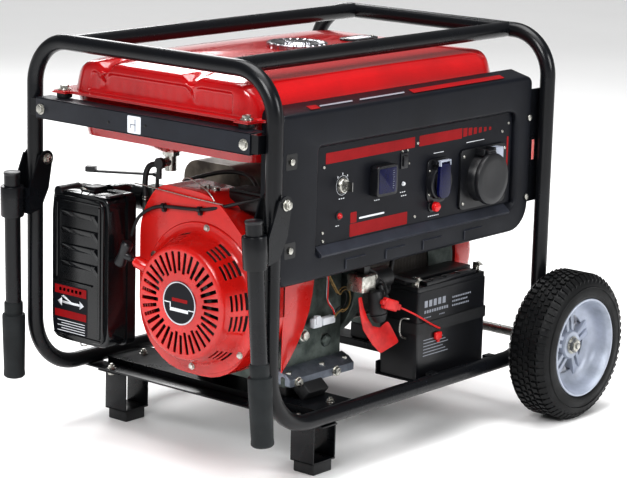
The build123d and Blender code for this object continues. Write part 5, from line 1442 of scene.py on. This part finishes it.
class GENERATOR_OT_alternator(bpy.types.Operator):
    """Alternator finishes and end cover"""
    bl_idname = "generator.alternator"
    bl_label = "Alternator"

    def execute(self, context):
        for node, material in (("rotor", "steel_laminations"), ("alternator_end_bell", "cast_aluminium")):
            paint_node(node, material)
        centre = (0, CRANK.y, CRANK.z)
        bm = bmesh.new()
        turned(bm, [(62, 352), (90.9, 352), (90.9, 520), (62, 520)], centre, (1, 0, 0), steps=72, closed=True)
        keep_piece(bm, "stator_stack", "steel_laminations", stands_for=["stator"])
        bm = bmesh.new()
        turned(bm, [(24, 306.2), (110.5, 306.2), (112, 308), (112, 318), (108, 321), (108, 334), (94, 350),
                    (93, 354), (90, 354), (66, 330), (60, 322), (24, 316)], centre, (1, 0, 0), steps=72,
               closed=True)
        for i in range(8):
            angle = math.radians(22.5 + 45 * i)
            spot = Vector((308, CRANK.y + 103 * math.cos(angle), CRANK.z + 103 * math.sin(angle)))
            rod(bm, spot, spot + Vector((18, 0, 0)), 9, edge=2.0)
        keep_piece(bm, "adapter_bell", "cast_aluminium", sharp=35)
        bm = bmesh.new()
        for i in range(4):
            angle = math.radians(45 + 90 * i)
            spot = Vector((352, CRANK.y + 96.5 * math.cos(angle), CRANK.z + 96.5 * math.sin(angle)))
            rod(bm, spot, spot + Vector((168, 0, 0)), 3.2)
        keep_piece(bm, "stator_tie_rods", "zinc_plate")
        bm = bmesh.new()
        turned(bm, [(66, 520), (84, 521), (85.5, 530), (80, 544), (68, 544)], centre, (1, 0, 0), steps=60,
               closed=True)
        for i in range(24):
            angle = math.radians(15 * i)
            spot = Vector((532, CRANK.y + 76 * math.cos(angle), CRANK.z + 76 * math.sin(angle)))
            slab(bm, spot + Vector((-9, -5, -5)), spot + Vector((11, 5, 5)), 3.0, 2)
        keep_piece(bm, "stator_winding", "copper_wire", sharp=50)
        bm = bmesh.new()
        turned(bm, [(70, 596.4), (92, 596.4), (92.5, 600), (92.2, 632), (90, 641), (84, 648), (74, 651.6),
                    (60, 652), (20, 652), (0, 652)], (0, CRANK.y, CRANK.z), (1, 0, 0), steps=64)
        keep_piece(bm, "end_cover_pressing", "red_engine_enamel", stands_for=["alternator_cover"],
                   sharp=40, wall=2.0)
        bm = bmesh.new()
        for i in range(4):
            angle = math.radians(45 + 90 * i)
            spot = Vector((652, CRANK.y + 70 * math.cos(angle), CRANK.z + 70 * math.sin(angle)))
            hexagon(bm, spot, (1, 0, 0), 9, 4)
        keep_piece(bm, "end_cover_bolts", "zinc_plate")
        # Black slabs on the cover's vent slots: painted shade for the dark inside seen through them.
        bm = bmesh.new()
        for row in range(5):
            for i in range(6 + 2 * (row % 2)):
                z = CRANK.z - 32 + 16 * row
                y = CRANK.y - 40 + (80 / (5 + 2 * (row % 2))) * i
                slab(bm, (651.9, y - 4.5, z - 2), (652.5, y + 4.5, z + 2), 0.2, 1)
        keep_piece(bm, "end_cover_vent_shade", "satin_black_paint")
        return {"FINISHED"}


class GENERATOR_OT_battery(bpy.types.Operator):
    """Battery, strap, leads and fuse holder"""
    bl_idname = "generator.battery"
    bl_label = "Battery"

    def execute(self, context):
        bm = bmesh.new()
        a0, a1, y0, y1, z0 = 388.0, 569.0, -225.0, -148.0, 103.0
        prism(bm, [(a0, y0, z0), (a1, y0, z0), (a1, y1, z0), (a0, y1, z0)], (0, 0, 144),
              all_corners(4), edge=1.0)
        pad(bm, (a0 + 1.2, y0 + 1.2, 247), (a1 - 1.2, y1 - 1.2, 247), (0, 0, 8), 4, edge=0.8)
        slab(bm, (a0 + 24, y0 + 2, 255), (a1 - 24, y0 + 18, 262), 1.4)
        slab(bm, (a0 + 3, y0 + 30, 255), (a1 - 3, y1 - 3, 262), 1.4)
        for i in range(3):
            slab(bm, (a0 + 40 + 36 * i, y0 + 3, 261), (a0 + 64 + 36 * i, y0 + 15, 263.4), 0.8)
        keep_piece(bm, "battery_case_moulding", "polypropylene", stands_for=["battery"], sharp=40)
        bm = bmesh.new()
        for a in (397, 560):
            slab(bm, (a - 6, y0 + 4, 255), (a - 4.4, y0 + 17, 271), 0.4)
            slab(bm, (a - 6, y0 + 4, 266), (a + 5, y0 + 17, 267.6), 0.4)
            hexagon(bm, (a - 6, y0 + 10.5, 262), (-1, 0, 0), 8, 4)
            hexagon(bm, (a, y0 + 10.5, 267.6), (0, 0, 1), 8, 3.2)
        keep_piece(bm, "battery_terminals", "zinc_plate")
        # Plain unlettered print block on the front of the case.
        bm = bmesh.new()
        rows = ((404, 466, 221, 11), (404, 474, 211, 5), (404, 424, 203, 2), (444, 462, 203, 2),
                (478, 530, 225, 3), (478, 522, 218, 3), (478, 526, 211, 3))
        for low_a, high_a, z, tall in rows:
            cell = tall * 0.9 + 2
            count = int((high_a - low_a) / cell)
            for i in range(count):
                slab(bm, (low_a + cell * i, y0 - 0.2, z), (low_a + cell * i + cell * 0.68, y0 + 0.1,
                                                           z + tall), 0, 1)
        for row in range(6):
            slab(bm, (404, y0 - 0.2, 166 - 5.2 * row), (456 + 7 * (row % 3), y0 + 0.1, 167.4 - 5.2 * row),
                 0, 1)
        keep_piece(bm, "battery_print", "printed_film_grey")
        bm = bmesh.new()
        pad(bm, (a0 - 2.4, y0 - 2.4, 179), (a1 + 2.4, y1 + 2.4, 179), (0, 0, 18), 5, edge=0.8)
        keep_piece(bm, "battery_band", "moulded_rubber", stands_for=["battery_strap"])
        cable("battery_hook", [(386, -209, 203), (383, -204, 204), (382, -196, 202), (382, -193, 194),
                               (382, -193, 178), (382, -197, 171), (382, -206, 171)], 3.0, "zinc_plate")
        self.leads()
        return {"FINISHED"}

    def leads(self):
        cable("starter_lead_jacket", [(390.9, -215, 266.5), (378, -215, 266.5), (366, -185, 276),
                                      (352.1, -185, 276)], 6.4, "moulded_rubber",
              stands_for=["starter_lead"])
        cable("fuse_wire_black", [(312, -197, 284), (322, -206, 276), (318, -214, 262), (306, -222, 254),
                                  (292, -227, 250)], 3.4, "moulded_rubber")
        cable("fuse_wire_red", [(334, -230, 235), (362, -233, 222), (396, -232, 204), (424, -230, 189),
                                (441, -229, 182)], 3.4, "red_pvc")
        bm = bmesh.new()
        slab(bm, (-18, -5, -9), (16, 5, 9), 2.6, 3)
        slab(bm, (14, -4, -5), (25, 4, 5), 1.8, 2)
        slab(bm, (-24, -3.5, -4), (-16, 3.5, 4), 1.5, 2)
        turn = Matrix.Translation((312, -227, 243)) @ Matrix.Rotation(math.radians(20), 4, "Y")
        bmesh.ops.transform(bm, matrix=turn, verts=bm.verts)
        keep_piece(bm, "fuse_holder", "red_pvc")
        bm = bmesh.new()
        slab(bm, (430, -231.5, 164), (446, -225.2, 176), 1.8, 3)
        slab(bm, (436, -230, 159), (442, -226, 165), 1.0)
        keep_piece(bm, "band_clip_red", "red_pvc")
        # Soft boots under the relay and the red insulating flap behind them.
        bm = bmesh.new()
        rod(bm, (300, -204, 264), (303, -211, 226), 11, end_r=15, edge=4, segments=3)
        rod(bm, (303, -211, 228), (306, -212, 214), 15, end_r=9, edge=3, segments=3)
        rod(bm, (316, -200, 270), (322, -208, 246), 6, end_r=8, edge=2)
        keep_piece(bm, "terminal_boots", "moulded_rubber", sharp=50)
        bm = bmesh.new()
        prism(bm, [(262, -203, 258), (268, -203, 228), (276, -203, 204), (300, -203, 176),
                   (322, -203, 157), (369, -203, 167), (352, -203, 190), (338, -203, 208),
                   (318, -203, 200), (300, -203, 206), (286, -203, 222), (276, -203, 240),
                   (270, -203, 258)], (0, 1.6, 0), {4: 3, 5: 4, 7: 5}, edge=0.5)
        keep_piece(bm, "terminal_flap", "red_pvc", sharp=60)


# ------------------------------------------------------------------ sidebar and start

BUILD_ORDER = ("finishes", "frame", "wheels", "handles", "tank", "panel", "engine", "alternator",
               "battery", "stage")


class GENERATOR_PT_sidebar(bpy.types.Panel):
    """Lists the generator's sizes, colours and pieces"""
    bl_idname = "GENERATOR_PT_sidebar"
    bl_label = "Generator"
    bl_space_type = "VIEW_3D"
    bl_region_type = "UI"
    bl_category = "Generator"

    def draw(self, context):
        layout = self.layout
        for group in (context.scene.generator_colours, context.scene.generator_sizes):
            box = layout.box()
            for name in group.__annotations__:
                box.prop(group, name)
        column = layout.column(align=True)
        for name in BUILD_ORDER:
            column.operator("generator." + name)


CLASSES = (GeneratorColours, GeneratorSizes, GENERATOR_OT_finishes, GENERATOR_OT_stage, GENERATOR_OT_frame,
           GENERATOR_OT_wheels, GENERATOR_OT_handles, GENERATOR_OT_tank, GENERATOR_OT_panel,
           GENERATOR_OT_engine, GENERATOR_OT_alternator, GENERATOR_OT_battery, GENERATOR_PT_sidebar)


def register():
    for item in CLASSES:
        bpy.utils.register_class(item)
    bpy.types.Scene.generator_colours = bpy.props.PointerProperty(type=GeneratorColours)
    bpy.types.Scene.generator_sizes = bpy.props.PointerProperty(type=GeneratorSizes)


def unregister():
    del bpy.types.Scene.generator_sizes
    del bpy.types.Scene.generator_colours
    for item in reversed(CLASSES):
        bpy.utils.unregister_class(item)


def main():
    register()
    for name in BUILD_ORDER:
        getattr(bpy.ops.generator, name)()


if __name__ == "__main__":
    main()
